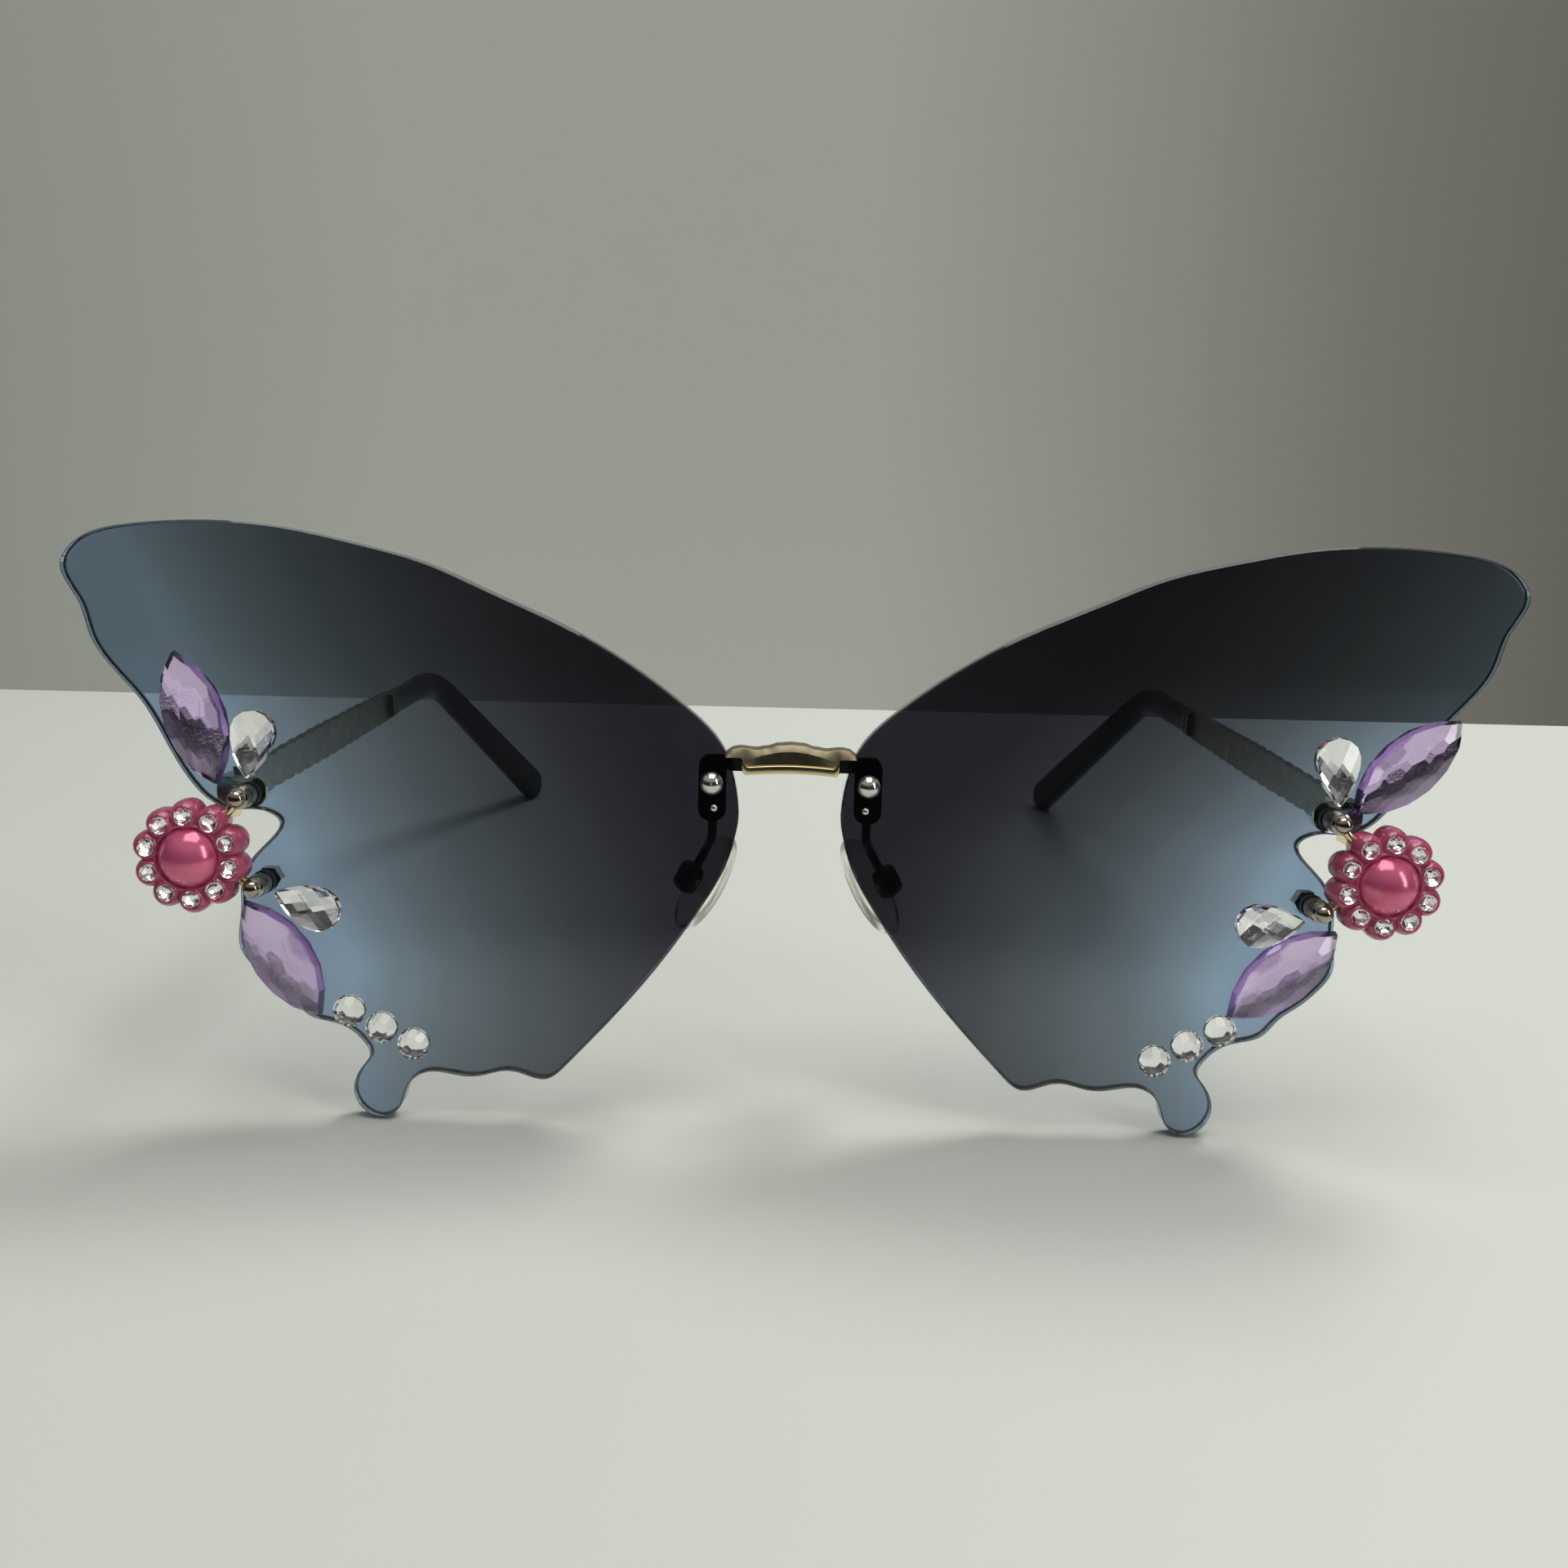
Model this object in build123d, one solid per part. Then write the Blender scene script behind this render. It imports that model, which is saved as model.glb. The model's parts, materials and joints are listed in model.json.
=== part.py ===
from build123d import *
import os
from math import acos, asin, atan2, cos, degrees, hypot, pi, radians, sin

os.makedirs("parts", exist_ok=True)

# Butterfly sunglasses, in millimetres.
# Every piece is drawn for the right half, upright: X runs across from the nose, Y runs back from
# the lens's front face and Z runs up along the lens from the bottom of its tail.
# The left half is its mirror image. Then the whole frame leans back on its tails and temple tips.

# Lens
lens_gap = 12.0
lens_width = 79.0
lens_height = 71.0
lens_thickness = 2.4
lens_bevel = 0.2

# Bolts, screws and nuts
bolt_radius = 0.7
bolt_clearance = 0.05
bolt_end = 0.3
bolt_head_radius = 1.4
bolt_head_height = 1.2
nut_radius = 1.5
nut_height = 1.6

# Posts that carry the flower
post_spacing = 10.6
post_angle = 81.8
post_cap_height = 0.85
washer_radius = 1.4
washer_thickness = 0.5
sleeve_radius = 1.15
sleeve_length = 4.0
pin_radius = 0.55
pin_stand_off = 3.3
pin_bite = 1.2
pin_clearance = 0.04

# Flower
flower_radius = 6.7
flower_dip = 0.6
flower_front_share = 0.93
flower_thickness = 3.6
flower_stand_off = 2.0
flower_side_gap = 0.05
flower_turn_angle = 54.2
petal_count = 10
crystal_radius = 0.9
crystal_ring_radius = 5.0
crystal_height = 1.0
crystal_depth = 0.6
pearl_radius = 3.4
pearl_height = 2.3
pearl_depth = 0.5
setting_clearance = 0.04

# Stones glued to the lens
navette_length = 16.1
navette_width = 7.0
navette_girdle = 1.7
navette_height = 3.2
teardrop_length = 8.3
teardrop_width = 5.3
teardrop_girdle = 0.9
teardrop_height = 2.0
teardrop_steps = 8
chaton_radius = 1.95
chaton_girdle = 0.7
chaton_height = 1.5
chaton_gap = 0.4
chaton_tuck = 1.05
chaton_count = 3
chaton_angle = 237.4
chaton_row_angle = 207.0
stone_table_share = 0.55

# Bridge
bridge_height = 2.6
bridge_front = 0.6
bridge_depth = 3.9
bridge_end_gap = 0.45
bridge_recess_depth = 0.7
bridge_rim = 0.7
crest_overhang = 1.75
crest_front_gap = 0.4
crest_height = 1.3
socket_depth = 1.3
socket_clearance = 0.05

# Bracket behind the lens, with the stub that enters the bridge
bracket_width = 3.3
bracket_thickness = 1.2
bracket_corner = 1.4
bracket_drop = 1.8
stub_height = 1.8
stub_front = 0.9
stub_lens_gap = 0.9
locator_radius = 0.5

# Nose pad and its arm
arm_radius = 0.55
arm_bend = 1.3
arm_foot_length = 3.0
arm_foot_thickness = 0.7
arm_drop = 2.2
arm_reach = 4.6
pad_across = 4.35
pad_behind = 7.6
pad_below = 8.0
pad_length = 13.0
pad_width = 6.6
pad_thickness = 1.8
pad_round = 0.6
pad_lean_angle = 27.5
pad_splay_angle = 35.0
pad_back_gap = 0.5
box_length = 3.8
box_width = 3.2
box_rim = 1.0
box_wall = 0.5
tongue_radius = 0.9
tongue_width = 1.9
tongue_clearance = 0.12
pad_screw_radius = 0.45
pad_screw_head_radius = 0.85
pad_screw_head_height = 0.4

# End plate behind the lens, with a lug against the lens's edge, and the hinge on it
plate_margin = 1.4
plate_thickness = 1.0
edge_lug_across = 2.7
edge_lug_height = 0.9
edge_lug_length = 1.2
edge_lug_clearance = 0.15
hinge_outboard = 3.0
hinge_behind = 4.9
barrel_radius = 1.4
barrel_height = 0.9
middle_barrel_height = 1.5
barrel_clearance = 0.1
hinge_screw_radius = 0.6
hinge_screw_clearance = 0.04
hinge_screw_head_radius = 1.1
hinge_screw_head_height = 0.6

# Temple
temple_rise_angle = 3.7
temple_toe_angle = 1.2
blade_start = 2.2
blade_length = 60.1
blade_thickness = 1.2
blade_front_height = 4.3
blade_middle_height = 4.9
blade_rear_height = 4.5
scallop_pitch = 3.8
scallop_depth = 0.25
core_height = 2.4
core_thickness = 1.0
core_length = 22.0
core_clearance = 0.05
ferrule_length = 3.0
ferrule_height = 3.9
ferrule_thickness = 2.8
ferrule_groove = 0.2
ferrule_groove_width = 0.5
ferrule_corner = 0.8
tip_front_height = 3.6
tip_bend_height = 4.4
tip_end_height = 6.0
tip_thickness = 2.8
tip_corner = 1.0
tip_bend_reach = 93.0
tip_drop_length = 49.6
tip_bend_radius = 22.0
tip_drop_angle = 35.0
tip_toe_angle = 13.0

# One overrun serves every cut
overrun = 1.0

# The lens outline, as shares of the lens's width out from its inner edge and of its height
outline_shares = [
    (0.000, 0.542), (0.008, 0.601), (0.025, 0.649), (0.081, 0.714), (0.165, 0.782), (0.266, 0.845),
    (0.367, 0.894), (0.468, 0.941), (0.570, 0.970), (0.671, 0.992), (0.791, 1.000), (0.905, 0.990),
    (0.981, 0.958), (0.999, 0.923), (0.991, 0.896), (0.973, 0.862), (0.959, 0.810), (0.924, 0.752),
    (0.886, 0.703), (0.842, 0.615), (0.816, 0.570), (0.791, 0.542), (0.759, 0.527), (0.709, 0.525),
    (0.686, 0.507), (0.701, 0.477), (0.728, 0.445), (0.744, 0.411), (0.747, 0.355), (0.749, 0.289),
    (0.727, 0.255), (0.703, 0.231), (0.675, 0.208), (0.649, 0.177), (0.605, 0.163), (0.565, 0.132),
    (0.556, 0.108), (0.565, 0.092), (0.581, 0.046), (0.567, 0.013), (0.535, 0.000), (0.511, 0.018),
    (0.497, 0.059), (0.472, 0.080), (0.435, 0.079), (0.411, 0.075), (0.385, 0.077), (0.352, 0.086),
    (0.327, 0.083), (0.306, 0.075), (0.289, 0.073), (0.256, 0.099), (0.209, 0.155), (0.124, 0.266),
    (0.051, 0.383), (0.016, 0.456), (0.005, 0.499),
]

# Places on the lens, in the same shares
bridge_screw_shares = (0.041, 0.589)
locator_shares = (0.037, 0.548)
lower_post_shares = (0.710, 0.406)
notch_top_share = 0.525
bridge_height_share = 0.6215

# The bridge's crest from its end to its middle, as shares of its half length and of its height
crest_shares = [(1.000, 0.6), (0.700, 0.5), (0.000, 1.0)]

# Stations along the temple tip, close together round the ear bend
tip_station_shares = [0, 0.14, 0.28, 0.32, 0.36, 0.40, 0.44, 0.58, 0.78, 1]

# Each stone's near end stands in a direction from its post, beyond the washer by a share of the
# stone's length, and its long axis runs on from there at an angle. The two sides differ a little
stone_places = {
    "right": {
        "upper_navette": {"direction": 15.8, "gap_share": 0.078, "angle": 44.0},
        "upper_teardrop": {"direction": 60.6, "gap_share": 0.029, "angle": 96.0},
        "lower_navette": {"direction": 314.6, "gap_share": 0.180, "angle": 221.0},
        "lower_teardrop": {"direction": 249.9, "gap_share": 0.056, "angle": 188.0},
    },
    "left": {
        "upper_navette": {"direction": 17.8, "gap_share": 0.144, "angle": 73.0},
        "upper_teardrop": {"direction": 85.6, "gap_share": 0.044, "angle": 99.0},
        "lower_navette": {"direction": 312.3, "gap_share": 0.113, "angle": 237.0},
        "lower_teardrop": {"direction": 222.4, "gap_share": 0.027, "angle": 202.0},
    },
}


def on_lens(shares):
    """A place on the lens as distances across and up."""
    return lens_gap / 2 + shares[0] * lens_width, shares[1] * lens_height


def stepped(place, direction, distance):
    """The place at a distance from another, in a direction counted from X towards Z."""
    angle = radians(direction)
    return place[0] + distance * cos(angle), place[1] + distance * sin(angle)


def facing(across, up, behind=0):
    """A plane parallel to the lens whose Z runs forward, out of the lens's front face."""
    return Plane(origin=(across, behind, up), x_dir=(1, 0, 0), z_dir=(0, -1, 0))


def rod(across, up, front, back, radius):
    """A round bar square to the lens, between two distances behind its front face."""
    return facing(across, up, back) * extrude(Circle(radius), back - front)


def dome(radius, height):
    """A spherical cap standing on the XY plane."""
    ball_radius = (radius ** 2 + height ** 2) / (2 * height)
    ball = Pos(0, 0, height - ball_radius) * Sphere(ball_radius)
    return ball & Pos(0, 0, height / 2) * Cylinder(radius, height)


def gem(outline, girdle, height):
    """A cut stone: straight sides up to the girdle and a crown that narrows to its table."""
    table = scale(outline, by=stone_table_share)
    crown = loft([Pos(0, 0, girdle) * outline, Pos(0, 0, height) * table], ruled=True)
    return extrude(outline, girdle) + crown


# Places that several pieces share
screw_across, screw_up = on_lens(bridge_screw_shares)
locator_across, locator_up = on_lens(locator_shares)
lower_post = on_lens(lower_post_shares)
upper_post = stepped(lower_post, post_angle, post_spacing)
posts = [upper_post, lower_post]
plate_back = lens_thickness + plate_thickness
post_backs = [(upper_post, plate_back), (lower_post, lens_thickness)]
hinge_across = upper_post[0] + hinge_outboard
hinge_y = lens_thickness + hinge_behind
hinge_up = upper_post[1]
flower_step = flower_radius + sleeve_radius + flower_side_gap
flower_across, flower_up = stepped(lower_post, post_angle - flower_turn_angle, flower_step)
bridge_up = bridge_height_share * lens_height
bridge_half = lens_gap / 2 - bridge_end_gap


# Lens
def make_lens():
    outline = Spline(*[on_lens(shares) for shares in outline_shares], periodic=True)
    plate = facing(0, 0, lens_thickness) * extrude(make_face(outline), lens_thickness)
    rims = [edge for edge in plate.edges() if edge.length > lens_width]
    lens = chamfer(rims, lens_bevel)
    for across, up in posts + [(screw_across, screw_up)]:
        lens -= rod(across, up, -overrun, lens_thickness + overrun, bolt_radius + bolt_clearance)
    locator_hole = locator_radius + bolt_clearance
    return lens - rod(locator_across, locator_up, -overrun, lens_thickness + overrun, locator_hole)


# Bolts and nuts
def make_bolt(across, up, front, back, head_height):
    """A bolt whose head stands forward of front and whose shank ends behind back."""
    shank = rod(across, up, front, back + bolt_end, bolt_radius)
    return shank + facing(across, up, front) * dome(bolt_head_radius, head_height)


def make_nut(across, up, front):
    nut = facing(across, up, front + nut_height) * extrude(RegularPolygon(nut_radius, 6), nut_height)
    return nut - rod(across, up, front - overrun, front + nut_height + overrun, bolt_radius + bolt_clearance)


def make_ring(across, up, front, back, radius):
    ring = rod(across, up, front, back, radius)
    return ring - rod(across, up, front - overrun, back + overrun, bolt_radius + bolt_clearance)


# Posts
def make_post_bolts():
    front = -washer_thickness - sleeve_length
    return [make_bolt(*post, front, back + nut_height, post_cap_height) for post, back in post_backs]


def make_post_nuts():
    return [make_nut(*post, back) for post, back in post_backs]


def make_post_washers():
    return [make_ring(across, up, -washer_thickness, 0, washer_radius) for across, up in posts]


def make_post_sleeves():
    front = -washer_thickness - sleeve_length
    hole_start = bolt_radius + bolt_clearance
    hole_end = sleeve_radius + overrun
    sleeves = []
    for across, up in posts:
        sleeve = make_ring(across, up, front, -washer_thickness, sleeve_radius)
        sleeves.append(sleeve - make_pin(across, up, hole_start, hole_end, pin_radius + pin_clearance))
    return sleeves


def make_pin(across, up, start, end, radius):
    """A round pin from a post towards the flower's middle, between two distances from the post."""
    angle = atan2(flower_up - up, flower_across - across)
    origin = (across + start * cos(angle), -pin_stand_off, up + start * sin(angle))
    along = Plane(origin=origin, x_dir=(0, 1, 0), z_dir=(cos(angle), 0, sin(angle)))
    return along * extrude(Circle(radius), end - start)


def pin_end(across, up):
    return hypot(flower_across - across, flower_up - up) - flower_radius + pin_bite


def make_flower_pins():
    start = bolt_radius + 2 * bolt_clearance
    return [make_pin(across, up, start, pin_end(across, up), pin_radius) for across, up in posts]


# Flower
def petal_outline(radius):
    """Ten round petals about the origin, on the XY plane."""
    dip_radius = radius - flower_dip
    step = 2 * pi / petal_count
    arcs = []
    for petal in range(petal_count):
        points = []
        for turn, reach in ((petal - 0.5, dip_radius), (petal, radius), (petal + 0.5, dip_radius)):
            points.append((reach * cos(turn * step), reach * sin(turn * step)))
        arcs.append(ThreePointArc(*points))
    return make_face(Wire(arcs))


def crystal_places():
    step = 360 / petal_count
    return [Rot(0, 0, petal * step) * Pos(crystal_ring_radius, 0, 0) for petal in range(petal_count)]


def make_flower_base():
    back = petal_outline(flower_radius)
    front = petal_outline(flower_radius * flower_front_share)
    base = loft([back, Pos(0, 0, flower_thickness) * front], ruled=True)
    pocket = Cylinder(crystal_radius + setting_clearance, 2 * crystal_depth)
    for place in crystal_places():
        base -= Pos(0, 0, flower_thickness) * place * pocket
    base -= Pos(0, 0, flower_thickness) * Cylinder(pearl_radius + setting_clearance, 2 * pearl_depth)
    base = facing(flower_across, flower_up, -flower_stand_off) * base
    for across, up in posts:
        hole_end = pin_end(across, up) + pin_clearance
        base -= make_pin(across, up, bolt_radius, hole_end, pin_radius + pin_clearance)
    return base


def make_flower_crystals():
    seat = facing(flower_across, flower_up, -flower_stand_off - flower_thickness + crystal_depth)
    half = crystal_height / 2
    stone = Pos(0, 0, half / 2) * Cylinder(crystal_radius, half)
    stone += Pos(0, 0, half + half / 2) * Cone(crystal_radius, crystal_radius * stone_table_share, half)
    return [seat * place * stone for place in crystal_places()]


def make_flower_pearl():
    seat = facing(flower_across, flower_up, -flower_stand_off - flower_thickness + pearl_depth)
    return seat * dome(pearl_radius, pearl_height)


# Stones
def navette_outline():
    half_length = navette_length / 2
    half_width = navette_width / 2
    upper = ThreePointArc((-half_length, 0), (0, half_width), (half_length, 0))
    lower = ThreePointArc((half_length, 0), (0, -half_width), (-half_length, 0))
    return make_face(Wire([upper, lower]))


def teardrop_outline():
    """A pear shape whose point looks along -X."""
    widest = sin(acos(-1 / 3)) * sin(acos(-1 / 3) / 2)
    sides = []
    for sign in (1, -1):
        points = []
        for step in range(teardrop_steps + 1):
            turn = step * pi / teardrop_steps
            half_width = teardrop_width / 2 * sin(turn) * sin(turn / 2) / widest
            points.append((-teardrop_length / 2 * cos(turn), sign * half_width))
        sides.append(Spline(*points))
    return make_face(sides)


def make_stone(name, side):
    place = stone_places[side][name]
    if name.endswith("navette"):
        length = navette_length
        stone = gem(navette_outline(), navette_girdle, navette_height)
    else:
        length = teardrop_length
        stone = gem(teardrop_outline(), teardrop_girdle, teardrop_height)
    post = upper_post if name.startswith("upper") else lower_post
    near_end = stepped(post, place["direction"], washer_radius + place["gap_share"] * length)
    middle = stepped(near_end, place["angle"], length / 2)
    return facing(*middle) * Rot(0, 0, place["angle"]) * stone


def make_chatons():
    """A row of small round stones. The first tucks in beside the far end of the lower navette."""
    stone = gem(Circle(chaton_radius), chaton_girdle, chaton_height)
    reach = washer_radius + navette_length + chaton_radius - chaton_tuck
    first = stepped(lower_post, chaton_angle, reach)
    step = 2 * chaton_radius + chaton_gap
    row = [stepped(first, chaton_row_angle, index * step) for index in range(chaton_count)]
    return [facing(*place) * stone for place in row]


# Bridge
def make_bridge_bar():
    half_height = bridge_height / 2
    body_place = Pos(0, bridge_depth / 2 - bridge_front, bridge_up)
    body = body_place * Box(2 * bridge_half, bridge_depth, bridge_height)
    body = fillet(body.edges().filter_by(Axis.X).group_by(Axis.Y)[0], bridge_rim / 2)
    recess_width = 2 * (bridge_half - bridge_rim)
    recess_height = bridge_height - 2 * bridge_rim
    recess = facing(0, bridge_up, bridge_recess_depth - bridge_front)
    body -= recess * extrude(SlotOverall(recess_width, recess_height), bridge_recess_depth + overrun)
    crest_end = bridge_half + crest_overhang
    crest_line = [(crest_end, 0)]
    crest_line += [(across * bridge_half, up * crest_height) for across, up in crest_shares]
    crest_line += [(-across, up) for across, up in reversed(crest_line[:-1])]
    crest = make_face(Wire([Spline(*crest_line), Line((-crest_end, 0), (crest_end, 0))]))
    crest_back = bridge_depth - bridge_front
    crest_depth = bridge_depth - crest_front_gap
    body += facing(0, bridge_up + half_height, crest_back) * extrude(crest, crest_depth)
    socket_end = bridge_half - socket_depth - socket_clearance
    socket = stub_block(socket_clearance, socket_end, bridge_half + overrun)
    return body - socket - mirror(socket, about=Plane.YZ)


def stub_block(margin, inner, outer):
    """The bracket's stub, larger by a margin on its four sides, between two distances across."""
    back = lens_thickness + bracket_thickness - bridge_front
    depth = back - stub_front
    middle = (back + stub_front) / 2
    place = Pos((inner + outer) / 2, middle, bridge_up)
    return place * Box(outer - inner, depth + 2 * margin, stub_height + 2 * margin)


# Bracket
def bracket_bottom():
    return locator_up - bracket_drop


def make_bridge_bracket():
    top = bridge_up + stub_height / 2
    bottom = bracket_bottom()
    back = lens_thickness + bracket_thickness
    plate = facing(screw_across, (top + bottom) / 2, back)
    plate = plate * extrude(RectangleRounded(bracket_width, top - bottom, bracket_corner), bracket_thickness)
    lens_edge = lens_gap / 2 + stub_lens_gap
    stub = stub_block(0, bridge_half - socket_depth, lens_edge)
    web_middle = (lens_edge + screw_across) / 2
    web_width = screw_across - lens_edge + 2 * stub_lens_gap
    web_depth = bracket_thickness - bridge_front
    web_place = Pos(web_middle, lens_thickness + web_depth / 2, bridge_up)
    web = web_place * Box(web_width, web_depth, stub_height)
    peg = rod(locator_across, locator_up, 0, lens_thickness + bracket_thickness / 2, locator_radius)
    bracket = plate + stub + web + peg
    return bracket - rod(screw_across, screw_up, 0, back + overrun, bolt_radius + bolt_clearance)


def make_bridge_screw():
    back = lens_thickness + bracket_thickness + nut_height
    return make_bolt(screw_across, screw_up, 0, back, bolt_head_height)


def make_bridge_nut():
    return make_nut(screw_across, screw_up, lens_thickness + bracket_thickness)


# Nose pad. Its plane has X down along the pad, Y back along its width and Z towards the nose
def pad_plane():
    lean = radians(pad_lean_angle)
    splay = radians(pad_splay_angle)
    down = Vector(sin(lean), 0, -cos(lean))
    back = Vector(sin(splay), cos(splay), 0)
    origin = (lens_gap / 2 + pad_across + bracket_width / 2, pad_behind, bracket_bottom() - pad_below)
    return Plane(origin=origin, x_dir=down, z_dir=back.cross(down).normalized())


def make_pad_box():
    floor = tongue_radius + tongue_clearance
    depth = floor + box_wall + box_rim
    shell = Pos(0, 0, box_rim - depth / 2) * Box(box_length, box_width, depth)
    slot_depth = floor + box_rim + overrun
    slot_place = Pos(0, 0, box_rim + overrun - slot_depth / 2)
    slot = slot_place * Box(box_length - 2 * box_wall, tongue_width + 2 * tongue_clearance, slot_depth)
    bore = Rot(90, 0, 0) * Cylinder(pad_screw_radius + bolt_clearance, box_width + 2 * overrun)
    return pad_plane() * (shell - slot - bore)


def make_pad_screw():
    """The screw runs across the box, with its head on the side that faces the lens."""
    shank = Rot(90, 0, 0) * Cylinder(pad_screw_radius, box_width)
    head_place = Pos(0, -box_width / 2 - pad_screw_head_height / 2, 0) * Rot(90, 0, 0)
    head = head_place * Cylinder(pad_screw_head_radius, pad_screw_head_height)
    return pad_plane() * (shank + head)


def make_nose_pad():
    pad_back = box_rim + pad_back_gap
    blank = extrude(Ellipse(pad_length / 2, pad_width / 2), pad_thickness)
    pad = Pos(0, 0, pad_back) * fillet(blank.edges(), pad_round)
    tongue_height = pad_back + pad_thickness / 2
    tongue = Pos(0, 0, tongue_height / 2) * Box(2 * tongue_radius, tongue_width, tongue_height)
    knuckle = Rot(90, 0, 0) * Cylinder(tongue_radius, tongue_width)
    bore = Rot(90, 0, 0) * Cylinder(pad_screw_radius + bolt_clearance, box_width + 2 * overrun)
    return pad_plane() * (pad + tongue + knuckle - bore)


def make_pad_arm():
    """A foot on the back of the bracket and a bent wire down to the pad box."""
    foot_front = lens_thickness + bracket_thickness
    foot_up = bracket_bottom() + arm_foot_length / 2
    foot_size = (2 * arm_radius + arm_foot_thickness, arm_foot_thickness, arm_foot_length)
    foot = Pos(screw_across, foot_front + arm_foot_thickness / 2, foot_up) * Box(*foot_size)
    wire_y = foot_front + arm_radius
    start = Vector(screw_across, wire_y, bracket_bottom() + arm_foot_length / 2)
    knee = Vector(screw_across, wire_y, bracket_bottom() - arm_drop)
    place = pad_plane()
    end = place.from_local_coords(Vector(-box_length / 2, 0, 0))
    approach = place.from_local_coords(Vector(-box_length / 2 - arm_reach / 2, 0, 0))
    path = FilletPolyline(start, knee, approach, end, radius=arm_bend)
    section = Plane(origin=start, z_dir=(0, 0, -1)) * Circle(arm_radius)
    return foot + sweep(section, path=path)


# End plate and hinge
def hinge_stack():
    """The hinge's barrels from the top down, as (lowest, highest) heights."""
    middle = middle_barrel_height / 2
    inner = middle + barrel_clearance
    return [(hinge_up + inner, hinge_up + inner + barrel_height), (hinge_up - middle, hinge_up + middle),
            (hinge_up - inner - barrel_height, hinge_up - inner)]


def barrel(low, high, radius):
    return Pos(hinge_across, hinge_y, (low + high) / 2) * Cylinder(radius, high - low)


def make_end_plate():
    """A plate on the upper post with the hinge's fixed barrels and a lug that stops it turning."""
    top, bottom = hinge_stack()[0][1], hinge_stack()[2][0]
    foot_width = hinge_outboard + barrel_radius + plate_margin
    foot_across = upper_post[0] - plate_margin + foot_width / 2
    foot_face = RectangleRounded(foot_width, top - bottom, barrel_radius)
    plate = facing(foot_across, hinge_up, plate_back) * extrude(foot_face, plate_thickness)
    lug_top = notch_top_share * lens_height - edge_lug_clearance
    lug_across = upper_post[0] + edge_lug_across
    lug_face = Rectangle(edge_lug_length, edge_lug_height)
    plate += facing(lug_across, lug_top - edge_lug_height / 2, plate_back) * extrude(lug_face, plate_back)
    web_height = bottom + barrel_radius - lug_top
    web_face = Rectangle(edge_lug_length, web_height + edge_lug_height)
    web_up = lug_top + (web_height - edge_lug_height) / 2
    plate += facing(lug_across, web_up, plate_back) * extrude(web_face, plate_thickness)
    lug_depth = hinge_y - lens_thickness
    for low, high in (hinge_stack()[0], hinge_stack()[2]):
        lug_place = Pos(hinge_across, lens_thickness + lug_depth / 2, (low + high) / 2)
        plate += lug_place * Box(2 * barrel_radius, lug_depth, high - low)
        plate += barrel(low, high, barrel_radius)
    plate -= rod(*upper_post, 0, plate_back + overrun, bolt_radius + bolt_clearance)
    screw_bore = hinge_screw_radius + hinge_screw_clearance
    return plate - barrel(bottom - overrun, top + overrun, screw_bore)


def make_hinge_screw():
    top, bottom = hinge_stack()[0][1], hinge_stack()[2][0]
    shank = barrel(bottom, top, hinge_screw_radius)
    return shank + barrel(top, top + hinge_screw_head_height, hinge_screw_head_radius)


# Temple, drawn straight back from the hinge axis and then raised and toed in
def temple_place():
    return Pos(hinge_across, hinge_y, hinge_up) * Rot(0, 0, temple_toe_angle) * Rot(temple_rise_angle, 0, 0)


def side_plane(across=0):
    """X runs back along the temple and Y up, with Z towards the nose."""
    return Plane(origin=(across, 0, 0), x_dir=(0, 1, 0), z_dir=(1, 0, 0))


def blade_half_height(share):
    if share < 0.5:
        return (blade_front_height + (blade_middle_height - blade_front_height) * 2 * share) / 2
    return (blade_middle_height + (blade_rear_height - blade_middle_height) * (2 * share - 1)) / 2


def blade_outline():
    """The blade from the side, with soft scallops along its top and bottom edges."""
    count = round(blade_length / scallop_pitch)
    marks = [step / (2 * count) for step in range(2 * count + 1)]
    top = []
    for index, share in enumerate(marks):
        dip = scallop_depth if index % 2 == 0 else 0
        top.append((blade_start + share * blade_length, blade_half_height(share) - dip))
    edges = []
    for sign in (1, -1):
        points = [(along, sign * up) for along, up in top]
        for index in range(0, 2 * count, 2):
            edges.append(ThreePointArc(*points[index:index + 3]))
        edges.append(Line(points[-1], (points[-1][0], 0)))
        edges.append(Line(points[0], (points[0][0], 0)))
    return make_face(edges)


def blade_end():
    return blade_start + blade_length


def make_temple_arm():
    blade = side_plane(-blade_thickness / 2) * extrude(blade_outline(), blade_thickness)
    core_total = ferrule_length + core_length + overrun
    core_middle = blade_end() - overrun + core_total / 2
    core = Pos(0, core_middle, 0) * Box(core_thickness, core_total, core_height)
    low, high = hinge_stack()[1]
    neck_length = blade_start + overrun
    neck_place = Pos(hinge_across, hinge_y, hinge_up) * Rot(0, 0, temple_toe_angle)
    neck_place = neck_place * Pos(0, neck_length / 2, 0)
    neck = neck_place * Box(blade_thickness, neck_length, middle_barrel_height)
    arm = temple_place() * (blade + core) + neck + barrel(low, high, barrel_radius)
    return arm - barrel(low - overrun, high + overrun, hinge_screw_radius + hinge_screw_clearance)


def core_slot(start, end):
    width = core_thickness + 2 * core_clearance
    height = core_height + 2 * core_clearance
    return Pos(0, (start + end) / 2, 0) * Box(width, end - start, height)


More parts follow.
